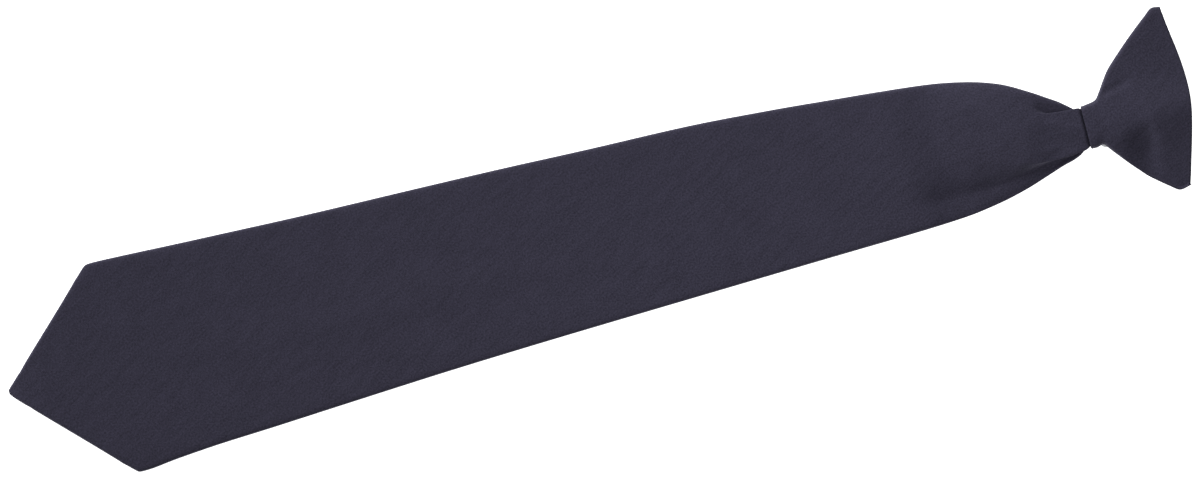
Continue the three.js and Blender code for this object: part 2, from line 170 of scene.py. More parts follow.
# %% The blade's heights
HEIGHTS = [
    ("from_tip", "lift", "panel", "reach", "arch", "crest", "twist"),
    (0.0, 0.0, 2.3, 1.4, 0.0, 0.0, 0.0),
    (6.0, 0.0, 3.6, 1.4, 0.0, 0.0, 0.0),
    (16.0, 0.0, 4.4, 1.4, 0.0, 0.0, 0.0),
    (310.0, 0.0, 4.5, 1.4, 0.0, 0.0, 0.0),
    (350.0, 0.0, 4.8, 1.4, 0.2, 0.0, 0.0),
    (376.0, 0.0, 5.4, 1.4, 0.8, -0.1, 0.0),
    (385.0, 0.0, 5.6, 1.4, 1.2, -0.2, 0.0),
    (393.0, 0.15, 5.0, 1.4, 1.2, -0.35, 0.15),
    (401.0, 0.45, 3.8, 1.4, 1.7, -0.5, 0.45),
    (408.0, 0.9, 3.4, 1.4, 2.9, -0.55, 0.9),
    (416.0, 1.5, 3.3, 1.4, 4.0, -0.55, 1.5),
    (426.0, 2.5, 4.0, 1.4, 4.6, -0.5, 2.2),
    (436.0, 3.9, 4.9, 1.4, 4.3, -0.35, 2.6),
    (443.0, 5.3, 5.4, 1.3, 3.1, -0.2, 2.5),
    (447.0, 6.5, 5.4, 1.2, 1.9, 0.0, 2.0),
    (452.0, 7.7, 5.4, 1.2, 1.2, 0.0, 1.3),
    (459.0, 8.5, 5.6, 1.2, 0.9, 0.0, 0.4),
    (460.6, 8.6, 5.9, 1.2, 0.8, 0.0, 0.2),
    (461.6, 8.7, 5.6, 1.3, 0.7, 0.0, 0.1),
    (462.2, 8.8, 4.6, 1.6, 0.4, 0.0, 0.0),
    (464.0, 8.8, 4.3, 1.6, 0.2, 0.0, 0.0),
    (480.0, 8.8, 4.3, 1.6, 0.2, 0.0, 0.0),
]
print("the back climbs", max(row[1] for row in HEIGHTS[1:]), "mm to the knot")

# %% [markdown]
# Each side of the gathers has one pleat. "ridge" is where the middle panel's edge runs. "drop" is how
# deep the flank dives beside it, and "edge_drop" how much lower the flank's outer edge lies. "tuck"
# is how far the flank is pushed under the panel, and "run" how wide the slope is where it isn't.

# %% The two pleats
UPPER_PLEAT = [
    ("from_tip", "ridge", "drop", "edge_drop", "tuck", "run"),
    (0.0, 0.0, 0.0, 0.0, 0.0, 1.0),
    (20.0, -6.0, 0.0, 0.0, 0.0, 3.0),
    (384.0, -8.0, 0.0, 0.0, 0.0, 6.0),
    (426.0, -5.0, 0.0, 0.0, 0.0, 5.0),
    (434.0, -3.4, 0.1, 0.6, 0.0, 4.6),
    (440.0, -2.6, 0.3, 1.1, 0.0, 4.0),
    (442.0, -2.4, 0.6, 1.2, 0.0, 3.4),
    (444.0, -2.0, 1.0, 1.3, 0.1, 2.8),
    (446.0, -1.8, 1.9, 1.35, 0.6, 1.9),
    (448.5, -1.6, 3.1, 1.4, 1.4, 1.0),
    (452.0, -1.3, 3.7, 1.6, 2.5, 0.5),
    (458.0, -1.0, 3.2, 2.0, 3.2, 0.3),
    (461.4, -0.7, 2.8, 2.6, 3.2, 0.3),
    (462.6, 0.6, 2.4, 2.4, 2.4, 0.3),
    (480.0, 2.0, 2.2, 2.2, 2.0, 0.3),
]
LOWER_PLEAT = [
    ("from_tip", "ridge", "drop", "edge_drop", "tuck", "run"),
    (0.0, 0.0, 0.0, 0.0, 0.0, 1.0),
    (20.0, 6.0, 0.0, 0.0, 0.0, 3.0),
    (380.0, 6.0, 0.0, 0.0, 0.0, 14.0),
    (389.0, 6.0, 0.8, 0.0, 0.0, 16.0),
    (397.0, 6.0, 2.5, 1.2, 0.0, 16.0),
    (406.0, 7.0, 2.8, 2.0, 0.0, 15.0),
    (418.0, 10.0, 3.0, 2.1, 0.0, 12.0),
    (428.0, 13.6, 3.0, 2.7, 0.0, 7.6),
    (436.0, 16.2, 3.2, 3.0, 0.1, 3.2),
    (443.0, 17.5, 2.7, 3.1, 0.6, 1.3),
    (450.0, 18.1, 2.1, 3.1, 1.2, 0.5),
    (458.0, 17.8, 2.2, 3.0, 2.4, 0.3),
    (461.4, 16.9, 2.4, 2.8, 2.6, 0.3),
    (462.6, 15.8, 2.4, 2.6, 2.2, 0.3),
    (480.0, 14.6, 2.2, 2.2, 2.0, 0.3),
]
for name, pleat in (("upper", UPPER_PLEAT), ("lower", LOWER_PLEAT)):
    print(name, "pleat is tucked in by up to", max(row[4] for row in pleat[1:]), "mm")

# %% [markdown]
# Smaller folds are lines on the cloth, each raised or sunk. They could be sculpted by hand with a
# brush, but a line in numbers can be compared with a photograph and mended by itself. A fold rarely
# has two like sides: one falls away steeply and the other softly, so each has its own width.
# Distances are measured to the nearest point of the line, and the sign says on which side of it a
# point lies. The same tool serves the blade and the knot.

# %% Fold lines
def fold_height(x, y, folds):
    """How much a table of folds raises the cloth at places along and across the tie."""
    total = np.zeros(np.shape(x))
    for kind, rows in folds:
        nearest = np.full(np.shape(x), np.inf)
        found = np.zeros((4,) + np.shape(x))
        for first, second in zip(rows[:-1], rows[1:]):
            dx, dy = second[0] - first[0], second[1] - first[1]
            share = ((x - first[0]) * dx + (y - first[1]) * dy) / (dx * dx + dy * dy)
            share = np.clip(share, 0, 1)
            away_x, away_y = x - first[0] - share * dx, y - first[1] - share * dy
            distance = np.hypot(away_x, away_y)
            side = np.sign(dx * away_y - dy * away_x)
            values = [a + (b - a) * share for a, b in zip(first[2:], second[2:])]
            closer = distance < nearest
            nearest = np.where(closer, distance, nearest)
            found = np.where(closer, np.stack([distance * side, *values]), found)
        signed, height, wide_left, wide_right = found
        width = np.where(signed < 0, wide_left, wide_right)
        if kind == "ridge":
            total += height * np.exp(-((signed / width) ** 2))
        else:
            total += height * 0.5 * (1 + np.tanh(signed / width))
    return total


straight_ridge = [("ridge", [(0, 0, 1, 2, 2), (10, 0, 1, 2, 2)])]
on_and_beside = fold_height(np.array([5.0, 5.0]), np.array([0.0, 2.0]), straight_ridge)
print("a ridge of 1 mm, on its line and 2 mm beside it:", np.round(on_and_beside, 2))

# %% [markdown]
# Each point of a line has five numbers: from tip, across, height, width on its left, width on its
# right. Whoever walks from the tip to the knot has the tie's upper side on the left. A ridge rises
# along its line, and a step lifts all that lies to the right of it. Most of the blade's folds start
# where the cloth is gathered, and one long low one shows the edge of the layers inside.

# %% The blade's small folds
BLADE_FOLDS = [
    ("ridge", [(441.0, 0.6, 0.3, 2.0, 3.0), (445.0, 1.2, 0.6, 2.0, 3.0), (449.0, 3.0, 1.0, 1.7, 3.4),
               (455.0, 6.4, 0.7, 1.9, 3.6), (460.0, 8.4, 0.2, 2.0, 3.6)]),
    ("step", [(438.0, 7.0, 0.0, 3.0, 4.0), (446.0, 9.4, -0.5, 2.6, 3.0), (452.0, 11.8, -0.9, 2.6, 3.4),
              (460.0, 12.8, -0.7, 2.6, 3.4)]),
    ("ridge", [(436.0, 12.6, 0.2, 1.6, 1.6), (446.0, 13.2, 0.5, 1.4, 1.4), (453.0, 13.8, 0.0, 1.4, 1.4)]),
    ("ridge", [(446.0, 17.6, 0.0, 0.9, 0.9), (450.0, 17.3, 0.1, 0.9, 0.9), (456.0, 16.6, 0.3, 0.8, 0.8),
               (461.0, 15.6, 0.0, 0.8, 0.8)]),
    ("ridge", [(60.0, 4.0, 0.0, 8.0, 6.0), (110.0, 6.0, 0.35, 8.0, 6.0), (200.0, 6.5, 0.35, 9.0, 7.0),
               (260.0, 6.0, 0.0, 9.0, 7.0)]),
]
print("the blade has", len(BLADE_FOLDS), "small folds")

# %% [markdown]
# A weave that is laid on by the place in space would swim over the folds. On real cloth it goes
# round with them, so every point needs its place on the flat cloth. It is found by measuring along
# the grid: round each section from its middle, and along the middle line from the tip.

# %% Where each point lies on the flat cloth
def cloth_places(points):
    """How far along and across the flat cloth the points of a grid lie, in millimetres."""
    middle = points.shape[1] // 2
    steps = np.linalg.norm(np.diff(points, axis=1), axis=2)
    across = np.concatenate([np.zeros((len(points), 1)), np.cumsum(steps, axis=1)], axis=1)
    across = across - across[:, middle : middle + 1]
    steps = np.linalg.norm(np.diff(points[:, middle], axis=0), axis=1)
    along = np.concatenate([[0], np.cumsum(steps)])
    return along, across


corner_grid = np.array([[(0, 0, 0), (0, 3, 0), (0, 3, 4)], [(5, 0, 0), (5, 3, 0), (5, 3, 4)]], float)
print("round a corner:", cloth_places(corner_grid)[1][0])

# %% [markdown]
# A sheet of cloth starts as a flat grid, as it comes off the roll, and is then folded by moving its
# points. A cloth simulation would be the way for a cushion or a drape, which find their own shape.
# A tie is pressed into set folds, so each point is told where to go instead. The flat place is kept
# as a UV map in metres. A Solidify modifier gives the cloth its thickness afterwards, inwards, so
# that the outside stays where it was put.

# %% From a flat grid to a folded sheet
def folded_sheet(name, points, thickness):
    """A sheet whose grid points lie at points[row][column], in millimetres, with a real thickness."""
    rows, columns = points.shape[:2]
    bpy.ops.object.select_all(action="DESELECT")
    bpy.ops.mesh.primitive_grid_add(x_subdivisions=rows - 1, y_subdivisions=columns - 1, size=2)
    sheet = bpy.context.object
    sheet.name = sheet.data.name = name
    flat = np.array([v.co for v in sheet.data.vertices])
    row = np.rint((flat[:, 0] + 1) / 2 * (rows - 1)).astype(int)
    col = np.rint((flat[:, 1] + 1) / 2 * (columns - 1)).astype(int)
    folded = points[row, col] * MM
    sheet.data.vertices.foreach_set("co", folded.astype(np.float32).ravel())

    along, across = cloth_places(points)
    corner = np.empty(len(sheet.data.loops), int)
    sheet.data.loops.foreach_get("vertex_index", corner)
    cloth_uv = np.stack([along[row[corner]], across[row[corner], col[corner]]], axis=1) * MM
    uv = sheet.data.uv_layers.active.data
    uv.foreach_set("uv", cloth_uv.astype(np.float32).ravel())
    sheet.data.update()

    solidify = sheet.modifiers.new("Thickness", "SOLIDIFY")
    solidify.thickness = thickness * MM
    solidify.offset = -1
    bpy.ops.object.modifier_apply(modifier=solidify.name)
    bpy.ops.object.shade_smooth()
    round_it = round(float(across.max() - across.min()), 1)
    print(name, len(sheet.data.polygons), "faces, edge round the widest row", round_it, "mm")
    return sheet


# %% [markdown]
# A table of folds leaves hard creases, and cloth has none: its threads share every bend with their
# neighbours. Each point is therefore moved towards the mean of its neighbours, first across and then
# along. The Smooth modifier does the same, but it would also shrink the outline, and here the grid
# can still be put right before it becomes a mesh.

# %% Soften the creases of a grid
SOFTENING = 0.5  # how far a point moves towards its neighbours' mean


def relaxed(points, passes):
    """The same grid with its creases softened."""
    points = points.copy()
    for _ in range(passes):
        inner = points[:, 1:-1]
        points[:, 1:-1] = inner + SOFTENING * ((points[:, :-2] + points[:, 2:]) / 2 - inner)
        inner = points[1:-1]
        points[1:-1] = inner + SOFTENING * ((points[:-2] + points[2:]) / 2 - inner)
    return points


spike = np.zeros((3, 3, 1))
spike[1, 1] = 1
print("a spike of 1 mm is", relaxed(spike, 1)[1, 1, 0], "mm high after one pass")

# %% [markdown]
# The two edges of a tie's cloth meet at the centre back, where one flap lies over the other. The step
# between them is what makes a seam, so it needs close columns: the outer flap's edge is sharp, and
# the inner flap comes down to its level just beside it. Blade and knot have the same seam.

# %% The back flaps
LAP_COLUMNS, RAMP_COLUMNS, PLAIN_COLUMNS = 4, 7, 6
BACK_COLUMNS = LAP_COLUMNS + RAMP_COLUMNS + PLAIN_COLUMNS
SEAM_OVERLAP = 8.0
SEAM_RAMP = 3.6  # the inner flap comes down to the outer one's level over this width
FLAP_STEP = 0.85  # the inner flap lies this much higher than the outer
OVERLAP_SHARE = 0.3  # a flap reaches past the middle by at most this share of half a section
RAMP_SHARE = 0.45  # and comes down over at most this share of the rest of its width
RAMP_START = 1.02  # just past the other flap's edge, in widths of the overlap


def seam_reach(half):
    """How far a flap reaches past the middle: less where the section is narrow."""
    return min(SEAM_OVERLAP / 2, OVERLAP_SHARE * half)


def flap_places(length, overlap):
    """Places from a flap's edge to its rolled edge, and how far (0 to 1) each is off the other flap."""
    ramp = min(SEAM_RAMP, RAMP_SHARE * (length - 2 * overlap))
    places = np.concatenate([
        np.linspace(0, 2 * overlap, LAP_COLUMNS, endpoint=False),
        2 * overlap + np.linspace(0, ramp, RAMP_COLUMNS, endpoint=False),
        np.linspace(2 * overlap + ramp, length, PLAIN_COLUMNS, endpoint=False),
    ])
    past = np.clip((places / (2 * overlap) - RAMP_START) * 2 * overlap / ramp, 0, 1)
    return places, 1 - past * past * (3 - 2 * past)


print("a flap of 40 mm has its places at", np.round(flap_places(40, seam_reach(40))[0], 1))

# %% [markdown]
# One row of the blade is a closed walk round its section: from one flap's edge at the centre back,
# out to a rolled edge, over it, along the flank, down into the pleat and up onto the panel, and the
# same on the other side. A section is written for one side and used for both, with side = 1 towards
# the tie's upper edge and -1 towards its lower one.

# %% One side of a blade section
ROLL_COLUMNS, FLANK_COLUMNS, PLEAT_COLUMNS, PANEL_COLUMNS = 13, 11, 13, 31
EDGE_COLUMNS = BACK_COLUMNS + ROLL_COLUMNS  # the back and the rolled edge, on each side
ROLL_SHARE = 0.62  # a rolled edge takes at most this share of half a section
STEP_SHARE = 0.25  # and the flaps' step at most this share of its thickness
NARROW_HALF = 12.0  # below this half width, a pleat's slope shrinks with the section
FLANK_CURVE = 1.2  # the flank bends down towards the pleat
FULL_TUCK = 1.5  # from this tuck on, a pleat's wall is a closed fold
PLEAT_BULGE = 0.35  # how far a closed fold swells to both sides
WALL_SHARE = 0.3  # where the pleat's wall bends, as a share of its width


def section_side(side, middle, edge, back, top, reach, pleat, inner_flap):
    """Half a section, from the flap's edge to the panel, as y and z in millimetres."""
    half = abs(edge - middle)
    reach = min(reach, ROLL_SHARE * half)
    overlap = seam_reach(half)
    start = edge - side * reach
    edge_top = top - pleat["edge_drop"]
    rise = (edge_top - back) / 2

    places, lifted = flap_places(abs(start - middle) + overlap, overlap)
    back_y = middle + side * (places - overlap)
    step = min(FLAP_STEP, STEP_SHARE * (top - back)) if inner_flap else 0.0
    back_z = back + step * lifted

    turn = np.linspace(0, math.pi, ROLL_COLUMNS)
    roll_y = start + side * reach * np.sin(turn)
    roll_z = back + rise * (1 - np.cos(turn))

    ridge = row_y(pleat["ridge"])
    low = top - pleat["drop"]
    valley = ridge + side * (pleat["run"] * min(1, half / NARROW_HALF) - pleat["tuck"])
    share = np.linspace(0, 1, FLANK_COLUMNS + 1)[1:-1]
    flank_y = start + (valley - start) * share
    flank_z = edge_top + (low - edge_top) * share**FLANK_CURVE

    folded_in = min(1, pleat["tuck"] / FULL_TUCK)
    bulge = side * PLEAT_BULGE * folded_in
    wall = (ridge - valley) * WALL_SHARE
    bends = [valley, valley + wall - bulge, ridge + bulge - wall, ridge]
    share = np.linspace(0, 1, PLEAT_COLUMNS)
    pleat_y = np.interp(share, [0, WALL_SHARE, 1 - WALL_SHARE, 1], bends)
    pleat_z = top + (low - top) * (1 - share) ** (2 - folded_in)
    y = np.concatenate([back_y, roll_y, flank_y, pleat_y])
    z = np.concatenate([back_z, roll_z, flank_z, pleat_z])
    return y, z


print("each side has", EDGE_COLUMNS, "points round its back and edge, and", PLEAT_COLUMNS, "in its pleat")

# %% [markdown]
# The rows lie close together where the cloth bends much, at the tip, the corners and the gathers,
# and far apart along the plain blade. An even grid as fine as the finest of these rows would have
# more than five times the faces, and nearly all of them would lie where nothing happens.

# %% The blade's rows
ROW_STEPS = [
    (0.0, 0.45), (6.0, 1.3), (38.0, 0.6), (50.0, 3.2),
    (370.0, 2.2), (385.0, 0.85), (459.0, 0.3), (464.0, 1.2),
]  # from which place on, and how far apart the rows are there
LAST_GAP = 0.6  # no new row starts closer than this to the neck's end


def row_places():
    """Distances from the tip of all the blade's rows."""
    places = [0.0]
    while places[-1] < NECK_END - LAST_GAP:
        step = [step for begin, step in ROW_STEPS if places[-1] >= begin][-1]
        places.append(min(places[-1] + step, NECK_END))
    return np.array(places)


print("blade rows", len(row_places()))

# %% [markdown]
# Now the sections are set one behind the other, each with its own widths, heights and pleats from the
# tables. The panel in the middle joins the two sides.

# %% Set the sections in a row
def blade_grid(places, upper, lower):
    """A section at each place, as a grid of points."""
    lift = column(HEIGHTS, "lift", places)
    panel = column(HEIGHTS, "panel", places)
    reach = column(HEIGHTS, "reach", places)
    pleats = {}
    for side, table in ((1, UPPER_PLEAT), (-1, LOWER_PLEAT)):
        for name in table[0][1:]:
            pleats[side, name] = column(table, name, places)
    rows = []
    for i, place in enumerate(places):
        middle = (upper[i] + lower[i]) / 2
        top = lift[i] + panel[i]
        halves = []
        for side, edge in ((-1, lower[i]), (1, upper[i])):
            pleat = {name: pleats[side, name][i] for name in UPPER_PLEAT[0][1:]}
            halves.append(section_side(side, middle, edge, lift[i], top, reach[i], pleat, side == 1))
        (lower_y, lower_z), (upper_y, upper_z) = halves
        share = np.linspace(0, 1, PANEL_COLUMNS)[1:-1]
        panel_y = lower_y[-1] + (upper_y[-1] - lower_y[-1]) * share
        y = np.concatenate([lower_y, panel_y, upper_y[::-1]])
        z = np.concatenate([lower_z, np.full(len(share), top), upper_z[::-1]])
        rows.append(np.stack([np.full(len(y), TIP_X + place), y, z], axis=1))
    return np.array(rows)


row = blade_grid(np.array([200.0]), row_y([-38.2]), row_y([37.9]))[0]
print("a row at 200 mm has", len(row), "points and is", round(float(np.ptp(row[:, 1])), 1), "mm wide")

# %% [markdown]
# Softening the creases pulls the edges in a little, and the outline is what shows most. So each row
# is stretched across again until its edges are where the table says. In the last part of the neck
# the panel makes the outline, and no stretching is needed.

# %% Hold the edges to the outline
PANEL_OUTSIDE = 455.0  # past this place the panel, not the flanks, makes the outline


def held_to_outline(points, places, upper, lower):
    """The grid with each row stretched across to the outline's edges."""
    points = points.copy()
    row_top = points[:, :, 1].max(axis=1)
    row_bottom = points[:, :, 1].min(axis=1)
    stretch = (upper - lower) / (row_top - row_bottom)
    stretched = lower[:, None] + (points[:, :, 1] - row_bottom[:, None]) * stretch[:, None]
    outside = places[:, None] < PANEL_OUTSIDE
    points[:, :, 1] = np.where(outside, stretched, points[:, :, 1])
    return points


small_grid = held_to_outline(corner_grid, np.array([0.0, 5.0]), np.array([8, 9]), np.array([-8, -9]))
print("edges held at", small_grid[:, :, 1].min(axis=1), "and", small_grid[:, :, 1].max(axis=1))

# %% [markdown]
# The gathers bulge where the pleats press the cloth together. The arch is highest along a line beside
# the middle. It falls to nothing at the lower edge, but only by a part towards the upper one, so the
# rolled edge there is lifted as well. The twist turns whole sections a little, back and all.

# %% Raise the gathers
UPPER_FALL = 0.5  # the share of the arch's height that is lost towards the upper edge


def arched(points, places, upper, lower):
    """The grid with its gathers arched and twisted, and with the small folds on its front."""
    points = points.copy()
    arch = column(HEIGHTS, "arch", places)[:, None]
    crest = column(HEIGHTS, "crest", places)[:, None]
    twist = column(HEIGHTS, "twist", places)[:, None]
    low_edge, width = lower[:, None], (upper - lower)[:, None]
    front = slice(EDGE_COLUMNS, -EDGE_COLUMNS)
    x, y = points[:, front, 0], points[:, front, 1]
    off_crest = 1 - 2 * (y - low_edge) / width - crest
    upper_side = off_crest < 0
    off_crest = off_crest / np.where(upper_side, 1 + crest, 1 - crest)
    fall = np.where(upper_side, UPPER_FALL, 1.0)
    points[:, front, 2] += arch * (1 - fall * np.clip(off_crest**2, 0, 1))
    roll = slice(-EDGE_COLUMNS, -BACK_COLUMNS)
    turned = (1 + np.cos(np.linspace(0, math.pi, ROLL_COLUMNS))) / 2
    points[:, roll, 2] += arch * (1 - UPPER_FALL) * turned
    points[:, front, 2] += fold_height(x - TIP_X, TIP_Y - y, BLADE_FOLDS)
    aside = 2 * (points[:, :, 1] - low_edge) / width - 1
    points[:, :, 2] += twist * np.clip(aside, -1, 1)
    return points


print("the arch rises", max(row[4] for row in HEIGHTS[1:]), "mm over the gathers")

# %% [markdown]
# A very low ripple keeps the long flat stretch from looking like plastic: pressed cloth is never
# quite flat. It comes from Blender's noise function, which gives the same value for the same place
# each time. Then all the steps come together, and the blade becomes a mesh.

# %% Fold the blade
CLOTH = 0.6  # one visible layer; the solid's wall also counts its interfacing
RIPPLES = [(70.0, 0.28), (26.0, 0.10)]  # size and height of the ripples in the pressed cloth
RIPPLE_PLACE = 3.0  # which part of the noise is used


def ripple(x, y):
    """Low waves in the cloth at one place."""
    total = 0.0
    for size, height in RIPPLES:
        total += height * noise.noise(Vector((x / size, y / size, RIPPLE_PLACE + size)))
    return total


def blade_points():
    """The whole blade as a grid of points."""
    places = row_places()
    upper = row_y(column(OUTLINE, "upper", places))
    lower = row_y(column(OUTLINE, "lower", places))
    points = relaxed(blade_grid(places, upper, lower), 2)
    points = held_to_outline(points, places, upper, lower)
    points = arched(points, places, upper, lower)
    from_edge = BACK_COLUMNS + ROLL_COLUMNS // 2
    for row in points[1:]:
        for point in row[from_edge:-from_edge]:
            point[2] += ripple(point[0], point[1])
    return relaxed(points, 1)


blade_cloth = folded_sheet("blade_cloth", blade_points(), CLOTH)

# %% [markdown]
# The knot is a flat fan of cloth, pulled together at its waist. It could be one lofted surface, but
# sections give a better hold on its outline: they run from one side of the fan to the other, and bow
# towards the collar end. Each row of the table says where a section meets the two sides, how far its
# middle leads, how high it stands, how far and how widely it bulges at its crest, how far the back
# of the wings rises, and how far the front falls towards the lower side.

# %% The knot's table
KNOT_ROWS = [
    ("row", "upper_from_tip", "upper", "lower_from_tip", "lower",
     "lead", "front", "bulge", "spread", "wing_lift", "fall"),
    (0, 462.6, -1.0, 462.6, 17.4, 0.0, 7.6, 0.6, 8.0, 0.0, 0.0),
    (1, 465.0, -1.3, 464.7, 17.6, 0.0, 7.5, 0.7, 8.0, 0.0, 0.0),
    (2, 468.6, -1.9, 467.4, 16.8, 0.1, 7.3, 0.8, 8.0, 0.1, 0.1),
    (3, 471.2, -4.9, 470.0, 19.8, 0.3, 7.2, 0.9, 9.0, 0.5, 0.4),
    (4, 474.0, -9.0, 472.4, 22.8, 0.6, 7.2, 1.0, 10.0, 1.1, 0.9),
    (5, 477.0, -13.0, 475.0, 26.0, 1.1, 7.3, 1.2, 11.0, 1.8, 1.7),
    (6, 481.0, -16.8, 478.4, 30.0, 1.8, 7.3, 1.5, 11.0, 2.5, 2.6),
    (7, 486.0, -21.3, 482.6, 34.3, 2.8, 7.3, 1.9, 11.0, 2.9, 3.2),
    (8, 492.0, -26.3, 487.0, 38.0, 3.8, 7.2, 2.2, 11.0, 3.0, 3.6),
    (9, 497.5, -30.6, 490.8, 41.0, 4.7, 7.0, 2.4, 10.5, 2.9, 3.8),
    (10, 501.4, -33.4, 494.2, 43.3, 5.3, 6.7, 2.5, 10.0, 2.7, 3.7),
    (11, 504.4, -32.9, 498.1, 42.5, 5.7, 6.5, 2.5, 10.0, 2.6, 3.2),
]
fan = max(row[4] for row in KNOT_ROWS[1:]) - min(row[2] for row in KNOT_ROWS[1:])
print("the fan is", round(fan, 1), "mm wide")

# %% [markdown]
# The knot's dents and creases make it look tied. A soft crease crosses the lower wing with a lit ridge
# beside it, and a narrow one runs from the waist into the upper wing. Three steps take the cloth from
# one level to another: a long one from the waist to the open end, one where the lower wing starts,
# and one at that wing's tip. All are lines with a height and two widths again, as on the blade.

# %% The knot's small folds
KNOT_FOLDS = [
    ("step", [(462.0, -2.0, 0.0, 0.6, 0.6), (468.0, -1.6, 0.15, 0.6, 0.6), (471.5, -2.2, 0.35, 0.6, 0.6),
              (475.0, -3.0, 0.4, 0.7, 0.7), (481.0, -4.2, 0.35, 0.9, 0.9), (486.0, -5.0, 0.3, 1.6, 1.6),
              (492.0, -3.5, 0.4, 3.0, 3.0), (508.0, 3.5, 0.5, 4.0, 4.0)]),
    ("ridge", [(471.0, -3.4, -0.3, 1.6, 1.4), (475.0, -4.2, -0.7, 1.9, 1.4), (481.0, -5.3, -0.6, 2.0, 1.4),
               (485.0, -6.6, -0.2, 2.4, 1.6), (489.0, -8.0, 0.0, 2.5, 2.0)]),
    ("step", [(470.0, 22.0, 0.0, 2.0, 2.0), (474.5, 19.5, -0.8, 2.0, 3.0), (480.0, 17.2, -1.4, 2.0, 4.0),
              (485.0, 15.5, -1.0, 2.0, 4.0), (489.0, 13.5, 0.0, 2.0, 4.0)]),
    ("ridge", [(485.6, 12.0, -0.1, 2.4, 6.0), (486.2, 18.0, -1.0, 2.6, 8.0), (486.0, 23.0, -1.7, 2.8, 8.5),
               (484.9, 28.0, -1.8, 4.2, 8.5), (483.6, 33.0, -1.3, 6.0, 8.0), (482.0, 38.0, -0.6, 6.0, 8.0)]),
    ("ridge", [(488.6, 2.0, 0.15, 5.0, 1.0), (489.4, 10.0, 0.4, 5.0, 0.9), (489.6, 18.0, 0.4, 5.0, 0.9),
               (488.5, 26.0, 0.4, 5.0, 1.6), (486.8, 33.5, 0.4, 6.0, 3.0), (485.4, 38.0, 0.2, 6.0, 3.0)]),
    ("step", [(480.0, 28.0, 0.0, 6.0, 6.0), (487.0, 29.0, -0.9, 5.0, 6.0), (500.0, 31.0, -0.9, 5.0, 6.0)]),
]
print("the knot has", len(KNOT_FOLDS), "small folds")

# %% [markdown]
# A section of the knot goes round like one of the blade, but it has no pleats: two back flaps, two
# rounded sides and one front with a bell-shaped bulge. It is worked out flat, as distances across
# the tie and heights, and then each point is set along the bow.

# %% One section of the knot
CREST_ACROSS = 9.5  # the knot bulges most along this line
LOWER_SHARE = 0.35  # the lower wing's back rises only this much of the upper's
SIDE_REACH = 1.9  # how far the rounded sides reach out, at most
SIDE_ROUNDNESS = 1.1  # and at most this many times half their height
SIDE_FADE = 8  # how quickly the bulge fades in from the sides
BOW_CURVE = 1.4  # how full the sections' bow and the front's fall are
KNOT_SIDE_COLUMNS, KNOT_FRONT_COLUMNS = 12, 61


def knot_side(side, edge, middle, values):
    """The back flap and rounded side on one side of a section, as distances across and heights."""
    half = abs(edge - middle)
    wing = values["wing_lift"] * (1 if side == 1 else LOWER_SHARE)
    fall = 0 if side == 1 else values["fall"]
    rise = (values["front"] - fall - wing) / 2
    reach = min(SIDE_REACH, rise * SIDE_ROUNDNESS)
    roll_start = edge + side * reach
    overlap = seam_reach(half)
    places, lifted = flap_places(abs(roll_start - middle) + overlap, overlap)
    across = middle - side * (places - overlap)
    height = (FLAP_STEP if side == 1 else 0.0) * lifted
    height += wing * ((across - middle) / half) ** 2
    turn = np.linspace(0, math.pi, KNOT_SIDE_COLUMNS)
    roll = roll_start - side * reach * np.sin(turn)
    return np.concatenate([across, roll]), np.concatenate([height, wing + rise * (1 - np.cos(turn))])


def knot_section(values):
    """One section round the knot, from the lower flap's edge over the front to the upper's."""
    start = np.array([values["upper_from_tip"], values["upper"]])
    end = np.array([values["lower_from_tip"], values["lower"]])
    middle = (start[1] + end[1]) / 2
    lower, lower_z = knot_side(-1, end[1], middle, values)
    upper, upper_z = knot_side(1, start[1], middle, values)
    share = np.linspace(0, 1, KNOT_FRONT_COLUMNS)[1:-1]
    front = lower[-1] + (upper[-1] - lower[-1]) * share
    bell = np.exp(-(((front - CREST_ACROSS) / values["spread"]) ** 2))
    bell *= np.minimum(1, SIDE_FADE * share * (1 - share))
    past_crest = np.clip((front - CREST_ACROSS) / (end[1] - CREST_ACROSS), 0, 1)
    front_z = values["front"] + values["bulge"] * bell - values["fall"] * past_crest**BOW_CURVE
    across = np.concatenate([lower, front, upper[::-1]])
    z = np.concatenate([lower_z, front_z, upper_z[::-1]])
    share = np.clip((across - start[1]) / (end[1] - start[1]), 0, 1)
    bow = values["lead"] * np.sin(math.pi * share) ** BOW_CURVE
    along = start[0] + (end[0] - start[0]) * share + bow
    return np.stack([TIP_X + along, row_y(across), KNOT_BACK + z], axis=1)


waist_section = knot_section(dict(zip(KNOT_ROWS[0], KNOT_ROWS[1])))
print("the waist band is", round(float(np.ptp(waist_section[:, 2])), 1), "mm high")

# %% [markdown]
# The cloth is turned to the inside at the knot's open end and at its waist, as a hem is, so no raw
# edge shows. More rows are added to the grid for that: half a circle round the fold and three rows
# back along the inside. At the two side folds there is hardly room between front and back, so the
# turn gets narrower and shorter there.

# %% A turned hem
HEM_TURN_ROWS = 7
HEM_BACK_ROWS = (0.25, 0.6, 1.0)  # shares of the hem's depth
NARROW_TURN = 0.45  # the hem's radius at a side fold, as a share of the whole
NARROW_DEPTH = 0.08  # and its depth there
RADIUS_FADE, DEPTH_FADE = 5.0, 12.0  # this far from a side fold both are whole
EDGE_SOFTENING_PASSES = 4


def smoothed_edge(directions):
    """Directions along an edge, each mixed with those of its neighbours."""
    for _ in range(EDGE_SOFTENING_PASSES):
        directions[1:-1] = (directions[:-2] + 2 * directions[1:-1] + directions[2:]) / 4
    return directions


def unit(directions):
    """The same directions, each one long."""
    return directions / np.linalg.norm(directions, axis=1)[:, None]


